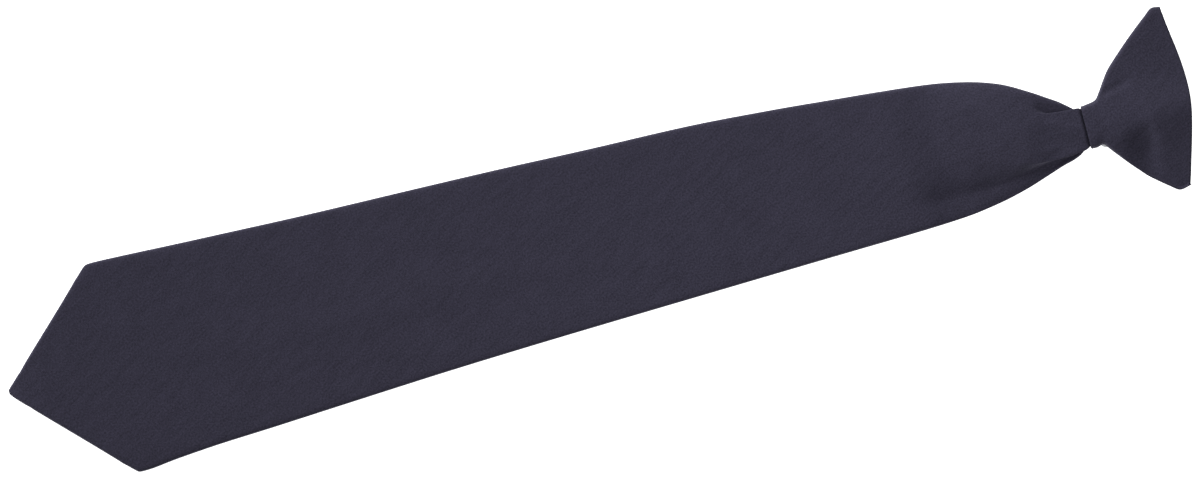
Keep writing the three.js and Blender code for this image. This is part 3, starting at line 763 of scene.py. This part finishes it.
def turned_in(points, radius, depth, behind):
    """The grid with its last row turned to the inside, and less so at the two side folds."""
    out = unit(smoothed_edge(unit(points[-1] - points[-1 - behind])))
    side = smoothed_edge(np.gradient(points[-1], axis=0))
    inward = unit(np.cross(side, out))
    steps = np.linalg.norm(np.diff(points[-1], axis=0), axis=1)
    way = np.concatenate([[0], np.cumsum(steps)])
    fold = BACK_COLUMNS + KNOT_SIDE_COLUMNS // 2
    off_fold = np.minimum(abs(way - way[fold]), abs(way - way[-1 - fold]))[:, None]
    radius = radius * (NARROW_TURN + (1 - NARROW_TURN) * np.clip(off_fold / RADIUS_FADE, 0, 1))
    depth = depth * np.clip(off_fold / DEPTH_FADE, NARROW_DEPTH, 1)
    rows = []
    for turn in np.linspace(0, math.pi, HEM_TURN_ROWS)[1:]:
        bend = out * radius * math.sin(turn) + inward * radius * (1 - math.cos(turn))
        rows.append(points[-1] + bend)
    for share in HEM_BACK_ROWS:
        rows.append(rows[HEM_TURN_ROWS - 2] - out * depth * share)
    return np.concatenate([points, np.array(rows)])


print("a hem adds", HEM_TURN_ROWS - 1 + len(HEM_BACK_ROWS), "rows")

# %% [markdown]
# The knot is folded like the blade: sections from the table, softened, then the small folds on the
# front, softened once more, and last the hems. The grid is turned end for end for the hem at the
# waist, and turned back. The folds come before the hems, so that a hem follows them.

# %% Fold the knot
KNOT_STEPS = 6  # sections for each row of the table
HEM_RADIUS, HEM_DEPTH = 0.75, 6.0
WAIST_RADIUS, WAIST_DEPTH = 0.45, 3.0
FOLDS_ROUND = 3  # the small folds run on over this many columns of the rounded sides


def knot_points():
    """The whole knot as a grid of points."""
    header, *body = KNOT_ROWS
    places = np.linspace(0, len(body) - 1, (len(body) - 1) * KNOT_STEPS + 1)
    table = {name: column(KNOT_ROWS, name, places) for name in header[1:]}
    rows = [knot_section({name: table[name][i] for name in table}) for i in range(len(places))]
    points = relaxed(np.array(rows), 2)
    from_edge = BACK_COLUMNS + KNOT_SIDE_COLUMNS - FOLDS_ROUND
    front = slice(from_edge, -from_edge)
    x, y = points[:, front, 0], points[:, front, 1]
    points[:, front, 2] += fold_height(x - TIP_X, TIP_Y - y, KNOT_FOLDS)
    points = relaxed(points, 1)
    points = turned_in(points, HEM_RADIUS, HEM_DEPTH, 3 * KNOT_STEPS)
    return turned_in(points[::-1, ::-1], WAIST_RADIUS, WAIST_DEPTH, KNOT_STEPS)[::-1, ::-1]


knot_cloth = folded_sheet("knot_cloth", knot_points(), CLOTH)

# %% [markdown]
# Stitches and threads are many small bits that belong together. Each kind becomes one piece: its bits
# are selected and joined, and their places are applied, so that the piece lies at the origin with
# its place in its mesh.

# %% Join small bits to one piece
def joined(bits, name):
    """Several small meshes made into one piece, with its own name."""
    bpy.ops.object.select_all(action="DESELECT")
    for bit in bits:
        bit.select_set(True)
    bpy.context.view_layer.objects.active = bits[0]
    bpy.ops.object.join()
    piece = bpy.context.object
    bpy.ops.object.transform_apply(location=True, rotation=True, scale=True)
    piece.name = piece.data.name = name
    print(name, len(bits), "bits,", len(piece.data.polygons), "faces")
    return piece


# %% [markdown]
# A tie is closed along its back by a slip stitch, a slack thread that goes to and fro between the two
# flaps and shows as short slanting bits in the step of the seam. First the seam's own place is
# needed. It follows from the tables, so the stitches would move with the cloth if a number changed.

# %% Where the seam runs
SEAM_FROM, SEAM_TO = 52.0, 436.0


def seam_place(place):
    """Where the outer flap's edge runs at a distance from the tip, and how high the back is there."""
    upper, lower = (float(column(OUTLINE, name, [place])[0]) for name in ("upper", "lower"))
    middle = (upper + lower) / 2
    overlap = seam_reach((lower - upper) / 2)
    lift, twist = (float(column(HEIGHTS, name, [place])[0]) for name in ("lift", "twist"))
    return float(row_y(middle)) + overlap, lift + twist * 2 * overlap / (lower - upper)


for place in (SEAM_FROM, SEAM_TO):
    print("seam at", place, "mm:", [round(v, 2) for v in seam_place(place)])

# %% [markdown]
# One stitch is an ellipsoid, drawn out and turned, and the others are copies of it along the seam. An
# array along a curve would make them all alike. Hand stitches lean a little differently each, so
# every copy gets its own lean from a sine, which gives the same result each time. They lie inside
# the step, so that nothing reaches below the cloth.

# %% The slip stitches of the back seam
STITCH_LENGTH, STITCH_THICK, STITCH_STEP = 2.6, 0.34, 5.5
STITCH_LEAN, LEAN_CHANGE = 52, 9  # degrees from the seam's direction
LEAN_BEAT = 1.7  # how far the sine goes on from stitch to stitch, in radians
STITCH_TILT = -11  # degrees down into the step
STITCH_ASIDE, STITCH_HEIGHT = 0.7, 0.44  # from the outer flap's edge and from the back

bpy.ops.object.select_all(action="DESELECT")
bpy.ops.mesh.primitive_uv_sphere_add(segments=8, ring_count=8, radius=1)
first_stitch = bpy.context.object
first_stitch.scale = (STITCH_LENGTH / 2 * MM, STITCH_THICK / 2 * MM, STITCH_THICK / 2 * MM)
bpy.ops.object.transform_apply(scale=True)
bpy.ops.object.shade_smooth()
stitches = []
for count, place in enumerate(np.arange(SEAM_FROM, SEAM_TO, STITCH_STEP)):
    seam_y, seam_z = seam_place(place)
    stitch = first_stitch.copy()
    stitch.data = first_stitch.data.copy()
    bpy.context.scene.collection.objects.link(stitch)
    lean = STITCH_LEAN + LEAN_CHANGE * math.sin(LEAN_BEAT * count)
    stitch.rotation_euler = (0, math.radians(STITCH_TILT), math.radians(lean))
    stitch_place = (TIP_X + place, seam_y + STITCH_ASIDE, seam_z + STITCH_HEIGHT)
    stitch.location = Vector(stitch_place) * MM
    stitches.append(stitch)
bpy.data.objects.remove(first_stitch)
seam_stitches = joined(stitches, "seam_stitches")

# %% [markdown]
# The steel clip is sewn to the knot's back through the four holes of its plate. A turn of thread comes
# down through the hole, goes round the plate's edge and up to the cloth again. It could be a curve
# with a round bevel. A small circle spun half a turn gives the same tube, closed at both ends, and
# it is then flattened a little, as a pulled thread is.

# %% One turn of thread
CLIP_MIDDLE = (clip_low.y + clip_high.y) / 2 / MM
PLATE_TOP = 7.0
HOLE_ASIDE = 6.8
THREAD = 0.2
LOOP_RADIUS = 2.05
LOOP_FLATNESS = 0.72
THREAD_RISE = 0.1  # the thread ends this far above the plate, close under the knot's cloth


def thread_turn(x, side):
    """One turn of thread from a hole, at x, round the plate's edge on one side."""
    bpy.ops.object.select_all(action="DESELECT")
    start = Vector((x, CLIP_MIDDLE + side * HOLE_ASIDE, PLATE_TOP + THREAD_RISE)) * MM
    centre = start + Vector((0, side * LOOP_RADIUS, 0)) * MM
    bpy.ops.mesh.primitive_circle_add(
        vertices=8, radius=THREAD * MM, fill_type="NGON", location=start
    )
    turn = bpy.context.object
    bpy.ops.object.mode_set(mode="EDIT")
    bpy.ops.mesh.select_all(action="SELECT")
    bpy.ops.mesh.spin(steps=12, angle=math.pi, center=centre, axis=(-side, 0, 0))
    bpy.ops.mesh.select_all(action="SELECT")
    bpy.ops.mesh.normals_make_consistent(inside=False)
    bpy.ops.object.mode_set(mode="OBJECT")
    bpy.ops.object.transform_apply(location=True, rotation=True, scale=True)
    for vertex in turn.data.vertices:
        vertex.co.z = start.z + (vertex.co.z - start.z) * LOOP_FLATNESS
    bpy.ops.object.shade_smooth()
    return turn


print("the plate's middle lies at y", round(CLIP_MIDDLE, 2), "mm")

# %% [markdown]
# Each hole gets three turns side by side, because a single thread would soon wear through on steel.
# With four holes that makes twelve, and they are joined to one piece.

# %% The threads that hold the clip
HOLES_X = (220.2, 242.3)
TURNS_BESIDE = (-0.42, 0.0, 0.42)  # the three turns of one hole, along the plate

turns = []
for hole_x in HOLES_X:
    for side in (-1, 1):
        for beside in TURNS_BESIDE:
            turns.append(thread_turn(hole_x + beside, side))
clip_threads = joined(turns, "clip_threads")
thread_heights = [v.co.z / MM for v in clip_threads.data.vertices]
print("threads from", round(min(thread_heights), 2), "to", round(max(thread_heights), 2), "mm high")

# %% [markdown]
# Every finish here is a tree of shader nodes. Blender's window draws them as boxes with wires. Two
# small helpers make a node, put it at a place in that drawing and wire its inputs, so that a finish
# reads as a short list of steps. A third one starts a group of nodes that can be used again.

# %% Helpers for shader nodes
def node(tree, kind, place, **inputs):
    """A shader node at a place in the tree, with values or links given to its inputs by name."""
    made = tree.nodes.new(kind)
    made.location = place
    for name, value in inputs.items():
        socket = made.inputs[name.replace("_", " ")]
        if isinstance(value, bpy.types.NodeSocket):
            tree.links.new(value, socket)
        else:
            socket.default_value = value
    return made


def math_node(tree, place, operation, first, second=0.0):
    """A Math node's result, from two values or links."""
    made = tree.nodes.new("ShaderNodeMath")
    made.operation = operation
    made.location = place
    for socket, value in zip(made.inputs, (first, second)):
        if isinstance(value, bpy.types.NodeSocket):
            tree.links.new(value, socket)
        else:
            socket.default_value = value
    return made.outputs[0]


def effect_group(name, place_name, numbers, results):
    """An empty node group with one place input, number inputs with their usual values, and outputs."""
    group = bpy.data.node_groups.new(name, "ShaderNodeTree")
    group.interface.new_socket(place_name, in_out="INPUT", socket_type="NodeSocketVector")
    for number_name, value in numbers:
        socket = group.interface.new_socket(number_name, in_out="INPUT", socket_type="NodeSocketFloat")
        socket.default_value = value
    for result in results:
        group.interface.new_socket(result, in_out="OUTPUT", socket_type="NodeSocketFloat")
    return group, group.nodes.new("NodeGroupInput"), group.nodes.new("NodeGroupOutput")


print("helpers: node, math_node, effect_group")

# %% [markdown]
# The cloth is a fine twill: threads pass over two and under one, which makes slanting ribs half a
# millimetre apart. Seen from a metre the ribs blend into a matte surface with a little grain: some
# yarns are lighter, some stretches of yarn darker, and the dye is not quite even. An image of cloth
# would blur from close up and repeat from afar, so the weave is worked out from the flat place.
# Both cloth pieces use it, so it is a group.

# %% Fine twill
TWILL_ANGLE = math.radians(29)  # the ribs climb towards the tie's upper edge
RIBS = 1900.0  # ribs for each metre
# The ribs' grooves are painted a little darker and their crests a little lighter, in step with their relief:
# painted shade, not a tone of the yarn.
RIB_PAINTED_SHADE, RIB_RELIEF = 0.02, 0.16
STREAK_STRETCH = (0.28, 1.0, 1.0)


def twill_group():
    """Fine twill: the height of its ribs, and how much lighter or darker each bit of cloth is."""
    numbers = (("Ribs", RIBS), ("Yarns", 0.3), ("Streaks", 0.1), ("Clouds", 0.1))
    group, start, end = effect_group("fine_twill", "Cloth", numbers, ("Height", "Lightness"))
    end.location = (1400, 0)
    turn = node(group, "ShaderNodeMapping", (200, 0), Vector=start.outputs["Cloth"])
    turn.inputs["Rotation"].default_value = (0, 0, -TWILL_ANGLE)
    xyz = node(group, "ShaderNodeSeparateXYZ", (400, 200), Vector=turn.outputs[0])
    phase = math_node(group, (600, 200), "MULTIPLY", xyz.outputs[1], start.outputs["Ribs"])
    phase = math_node(group, (700, 200), "MULTIPLY", phase, 2 * math.pi)
    rib = math_node(group, (800, 200), "SINE", phase)
    stretch = node(group, "ShaderNodeMapping", (400, -100), Vector=turn.outputs[0])
    stretch.inputs["Scale"].default_value = STREAK_STRETCH
    yarns = node(group, "ShaderNodeTexNoise", (600, -100), Vector=turn.outputs[0],
                 Scale=1300.0, Detail=2.0, Roughness=0.6)
    streaks = node(group, "ShaderNodeTexNoise", (600, -300), Vector=stretch.outputs[0],
                   Scale=360.0, Detail=1.0, Roughness=0.5)
    clouds = node(group, "ShaderNodeTexNoise", (600, -500), Vector=turn.outputs[0],
                  Scale=60.0, Detail=2.0, Roughness=0.5)
    # Painted shade: the rib's sine darkens the grooves and lightens the crests.
    total = math_node(group, (800, 0), "MULTIPLY", rib, RIB_PAINTED_SHADE)
    for texture, name in ((yarns, "Yarns"), (streaks, "Streaks"), (clouds, "Clouds")):
        centred = math_node(group, (900, -200), "SUBTRACT", texture.outputs[0], 0.5)
        scaled = math_node(group, (1000, -200), "MULTIPLY", centred, start.outputs[name])
        total = math_node(group, (1100, -100), "ADD", total, scaled)
    relief = math_node(group, (1000, 200), "MULTIPLY", rib, RIB_RELIEF)
    relief = math_node(group, (1100, 200), "ADD", relief, yarns.outputs[0])
    group.links.new(relief, end.inputs["Height"])
    group.links.new(total, end.inputs["Lightness"])
    return group


twill = twill_group()
print("the twill has", len(twill.nodes), "nodes")

# %% [markdown]
# The twill group says how light each bit of cloth is, and the material turns that into a very dark
# navy. The surface is nearly matte. A weak sheen stands for the fine fibre ends that catch light at
# grazing angles, which is what tells cloth from painted plastic. The bump is slight: the ribs stand
# up by much less than a tenth of a millimetre. What is the same all over, like the roughness, is
# simply set on the shader.

# %% Navy cloth
NAVY = (0.0344, 0.0318, 0.0521)
YARNS, STREAKS, CLOUDS = 1.7, 0.35, 0.16  # how strongly each shows


def cloth_material(name, color):
    """Matte navy twill, with woven relief, uneven dye, painted shade in the rib grooves and a soft bloom at
    grazing angles.
    """
    material = bpy.data.materials.new("navy_twill_of_" + name)
    material.use_nodes = True
    tree = material.node_tree
    shader = tree.nodes["Principled BSDF"]
    uv = node(tree, "ShaderNodeUVMap", (-1400, 0))
    weave = tree.nodes.new("ShaderNodeGroup")
    weave.node_tree = twill
    weave.location = (-1100, 0)
    tree.links.new(uv.outputs[0], weave.inputs["Cloth"])
    for socket, value in (("Ribs", RIBS), ("Yarns", YARNS), ("Streaks", STREAKS), ("Clouds", CLOUDS)):
        weave.inputs[socket].default_value = value
    factor = math_node(tree, (-600, -100), "ADD", weave.outputs["Lightness"], 1.0)
    tint = node(tree, "ShaderNodeVectorMath", (-400, 0))
    tint.operation = "SCALE"
    tint.inputs[0].default_value = color
    tree.links.new(factor, tint.inputs["Scale"])
    tree.links.new(tint.outputs[0], shader.inputs["Base Color"])
    bump = node(tree, "ShaderNodeBump", (-400, -400), Height=weave.outputs["Height"],
                Strength=0.35, Distance=0.0002)
    tree.links.new(bump.outputs[0], shader.inputs["Normal"])
    shader.inputs["Roughness"].default_value = 0.9
    shader.inputs["Specular IOR Level"].default_value = 0.15
    shader.inputs["Sheen Weight"].default_value = 0.12
    shader.inputs["Sheen Roughness"].default_value = 0.5
    shader.inputs["Sheen Tint"].default_value = (0.55, 0.55, 0.7, 1)
    return material


for cloth, slot, cad_node in (
    (blade_cloth, "blade_cloth", "blade"),
    (knot_cloth, "knot_cloth", "knot"),
):
    cloth.data.materials.clear()
    cloth.data.materials.append(cloth_material(cad_node, NAVY))
    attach(cloth, "root")
    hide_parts(cad_node)
    print(cloth.name, "is finished in", cloth.data.materials[0].name)

# %% [markdown]
# Sewing thread is two plies twisted together. At this size only the twist shows, as slanting lines
# across the thread, so a band pattern that runs along all three directions at once gives its relief,
# and its colour as painted shade in the grooves and a painted highlight on the crests. Stitches and
# threads share this one material.

# %% Thread
# Both colours are one navy thread: the darker is painted shade, the lighter a painted highlight.
PLY_PAINTED_SHADE, PLY_PAINTED_LIGHT = (0.022, 0.021, 0.034, 1), (0.058, 0.056, 0.082, 1)

thread = bpy.data.materials.new("navy_thread")
thread.use_nodes = True
thread_tree = thread.node_tree
thread_shader = thread_tree.nodes["Principled BSDF"]
thread_place = node(thread_tree, "ShaderNodeTexCoord", (-900, 0))
twist = node(thread_tree, "ShaderNodeTexWave", (-700, 0), Vector=thread_place.outputs["Object"],
             Scale=900.0, Distortion=1.5)
twist.bands_direction = "DIAGONAL"
# The ramp paints the twist's grooves dark and its crests light, in step with the same bands' bump: painted
# shade and painted highlight.
twist_painted_shading = node(thread_tree, "ShaderNodeValToRGB", (-450, 100), Fac=twist.outputs[1])
twist_painted_shading.color_ramp.elements[0].color = PLY_PAINTED_SHADE
twist_painted_shading.color_ramp.elements[1].color = PLY_PAINTED_LIGHT
ply_bump = node(thread_tree, "ShaderNodeBump", (-450, -250), Height=twist.outputs[1],
                Strength=0.5, Distance=0.0001)
thread_tree.links.new(twist_painted_shading.outputs[0], thread_shader.inputs["Base Color"])
thread_tree.links.new(ply_bump.outputs[0], thread_shader.inputs["Normal"])
thread_shader.inputs["Roughness"].default_value = 0.65
for threads, slot in ((seam_stitches, "blade_cloth"), (clip_threads, "knot_cloth")):
    threads.data.materials.clear()
    threads.data.materials.append(thread)
    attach(threads, "root")
    print(threads.name, "is finished in", thread.name)

# %% [markdown]
# The clip is plated spring steel. The strip was brushed along its length before it was bent, so fine
# lines run that way, and here and there the plating is a little duller. Noise that is stretched
# some thirty times in one direction makes such lines. The effect is a group again, with its
# strengths as inputs, so that another metal piece could use it.

# %% Brushed metal
BRUSH_STRETCH = (0.03, 1.0, 1.0)


def brushed_group():
    """Brushed metal: how light and how rough each bit is, and the height of its fine lines."""
    numbers = (("Lines", 0.25), ("Dull", 0.2))
    results = ("Lightness", "Roughness", "Height")
    group, start, end = effect_group("brushed_metal", "Metal", numbers, results)
    end.location = (1200, 0)
    drawn = node(group, "ShaderNodeMapping", (200, 100), Vector=start.outputs["Metal"])
    drawn.inputs["Scale"].default_value = BRUSH_STRETCH
    lines = node(group, "ShaderNodeTexNoise", (400, 100), Vector=drawn.outputs[0],
                 Scale=6000.0, Detail=3.0, Roughness=0.6)
    patches = node(group, "ShaderNodeTexNoise", (400, -200), Vector=start.outputs["Metal"],
                   Scale=180.0, Detail=3.0, Roughness=0.6)
    line = math_node(group, (600, 100), "SUBTRACT", lines.outputs[0], 0.5)
    line = math_node(group, (700, 100), "MULTIPLY", line, start.outputs["Lines"])
    patch = math_node(group, (600, -200), "SUBTRACT", patches.outputs[0], 0.5)
    patch = math_node(group, (700, -200), "MULTIPLY", patch, start.outputs["Dull"])
    lightness = math_node(group, (900, 200), "SUBTRACT", line, patch)
    rough = math_node(group, (900, 0), "ADD", line, patch)
    group.links.new(lightness, end.inputs["Lightness"])
    group.links.new(rough, end.inputs["Roughness"])
    group.links.new(lines.outputs[0], end.inputs["Height"])
    return group


brushed = brushed_group()
print("brushed metal has", len(brushed.nodes), "nodes")

# %% [markdown]
# The clip's solid already has the right shape, so it stays, and only its material slot is filled
# anew. Metal has no colour of its own beside its reflections, so the base colour is simply how much
# it reflects. The brushing changes that a little, and the roughness more.

# %% The clip's steel
STEEL = (0.60, 0.61, 0.62)
STEEL_ROUGHNESS = 0.34

steel = bpy.data.materials.new("brushed_spring_steel")
steel.use_nodes = True
steel_tree = steel.node_tree
steel_shader = steel_tree.nodes["Principled BSDF"]
steel_place = node(steel_tree, "ShaderNodeTexCoord", (-1300, 0))
brushing = steel_tree.nodes.new("ShaderNodeGroup")
brushing.node_tree = brushed
brushing.location = (-1100, 0)
steel_tree.links.new(steel_place.outputs["Object"], brushing.inputs["Metal"])
brushing.inputs["Lines"].default_value = 0.35
brushing.inputs["Dull"].default_value = 0.30
steel_tint = node(steel_tree, "ShaderNodeVectorMath", (-500, 100))
steel_tint.operation = "SCALE"
steel_tint.inputs[0].default_value = STEEL
steel_light = math_node(steel_tree, (-700, 100), "ADD", brushing.outputs["Lightness"], 1.0)
steel_tree.links.new(steel_light, steel_tint.inputs["Scale"])
steel_tree.links.new(steel_tint.outputs[0], steel_shader.inputs["Base Color"])
steel_rough = math_node(
    steel_tree, (-500, -100), "ADD", brushing.outputs["Roughness"], STEEL_ROUGHNESS
)
steel_tree.links.new(steel_rough, steel_shader.inputs["Roughness"])
steel_bump = node(steel_tree, "ShaderNodeBump", (-500, -300), Height=brushing.outputs["Height"],
                  Strength=0.15, Distance=0.00005)
steel_tree.links.new(steel_bump.outputs[0], steel_shader.inputs["Normal"])
steel_shader.inputs["Metallic"].default_value = 1.0
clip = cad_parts["clip"]
clip.data.materials.clear()
clip.data.materials.append(steel)
print("the clip is finished in", steel.name)

# %% [markdown]
# The area of each cloth piece is measured on the mesh. A sheet with a thickness has two faces, so
# half of its surface is the cloth's area.

def cloth_area(sheet):
    """The area of a sheet's cloth in square metres."""
    return sum(face.area for face in sheet.data.polygons) / 2


print("cloth", round(cloth_area(blade_cloth), 4), round(cloth_area(knot_cloth), 4), "square metres")

# %% [markdown]
# The tie lies on a pure white ground. A white table alone would come out grey beside the soft light,
# and more light would wash out the navy. So the table also glows a little by itself, which leaves
# the ground white and lights the cloth's edges from below, as a light table does.

# %% The table
TABLE_SIZE = 6
TABLE_GLOW = 1.2

bpy.ops.object.select_all(action="DESELECT")
bpy.ops.mesh.primitive_plane_add(size=TABLE_SIZE, location=(0, 0, 0))
table = bpy.context.object
table.name = "table_top"
table_paint = bpy.data.materials.new("table_white")
table_paint.use_nodes = True
paint = table_paint.node_tree.nodes["Principled BSDF"]
paint.inputs["Base Color"].default_value = (0.9, 0.9, 0.9, 1)
paint.inputs["Roughness"].default_value = 0.8
paint.inputs["Emission Color"].default_value = (1, 1, 1, 1)
paint.inputs["Emission Strength"].default_value = TABLE_GLOW
table.data.materials.append(table_paint)
print("the table is", TABLE_SIZE, "m wide")

# %% [markdown]
# The tie lies slanting in the picture, so the camera is turned and everything else stays in line with
# the frame. The shading of the folds tells where the light was: a large soft window to the upper
# left, low enough to model the gathers. A small weak lamp over the gathers adds the bit of light
# that the room gives, and an even world fills the shadows.

# %% The light
PICTURE_TURN = math.radians(-14.8)
WORLD_LIGHT = 0.16


def area_light(name, place, size, power):
    """A soft round lamp at a place of the picture (right, up, above the table), aimed at the tie."""
    data = bpy.data.lights.new(name, "AREA")
    data.shape = "DISK"
    data.size = size
    data.energy = power
    lamp = bpy.data.objects.new(name, data)
    bpy.context.scene.collection.objects.link(lamp)
    lamp.location = Matrix.Rotation(PICTURE_TURN, 3, "Z") @ Vector(place)
    lamp.rotation_euler = lamp.location.to_track_quat("Z", "Y").to_euler()
    return lamp


window = area_light("window", place=(-4.1, 3.4, 3.1), size=2.4, power=398)
area_light("overhead", place=(0.13, 0.02, 0.42), size=0.30, power=0.56)
world = bpy.data.worlds.new("studio")
bpy.context.scene.world = world
world.use_nodes = True
world.node_tree.nodes["Background"].inputs["Color"].default_value = (1, 1, 1, 1)
world.node_tree.nodes["Background"].inputs["Strength"].default_value = WORLD_LIGHT
print("the window is", round(window.location.length, 1), "m away")

# %% [markdown]
# The camera looks straight down. It stands far off with a long lens, because the photograph shows
# almost no perspective. Its distance follows from the width that the picture spans on the cloth.
# The plain Standard view keeps the dark navy as it is, where a filmic one would lift it.

# %% The camera
PICTURE_WIDTH = 0.5005  # metres across the picture, at the cloth's usual height
CLOTH_HEIGHT = 0.005
PICTURE_MIDDLE = (0.00060, -0.00054)
LENS, SENSOR = 300.0, 36.0

camera_data = bpy.data.cameras.new("camera")
camera_data.lens = LENS
camera_data.sensor_width = SENSOR
camera = bpy.data.objects.new("camera", camera_data)
bpy.context.scene.collection.objects.link(camera)
camera.location = (*PICTURE_MIDDLE, PICTURE_WIDTH * LENS / SENSOR + CLOTH_HEIGHT)
camera.rotation_euler = (0, 0, PICTURE_TURN)
bpy.context.scene.camera = camera
bpy.context.scene.view_settings.view_transform = "Standard"
print("the camera is", round(camera.location.z, 2), "m over the table")
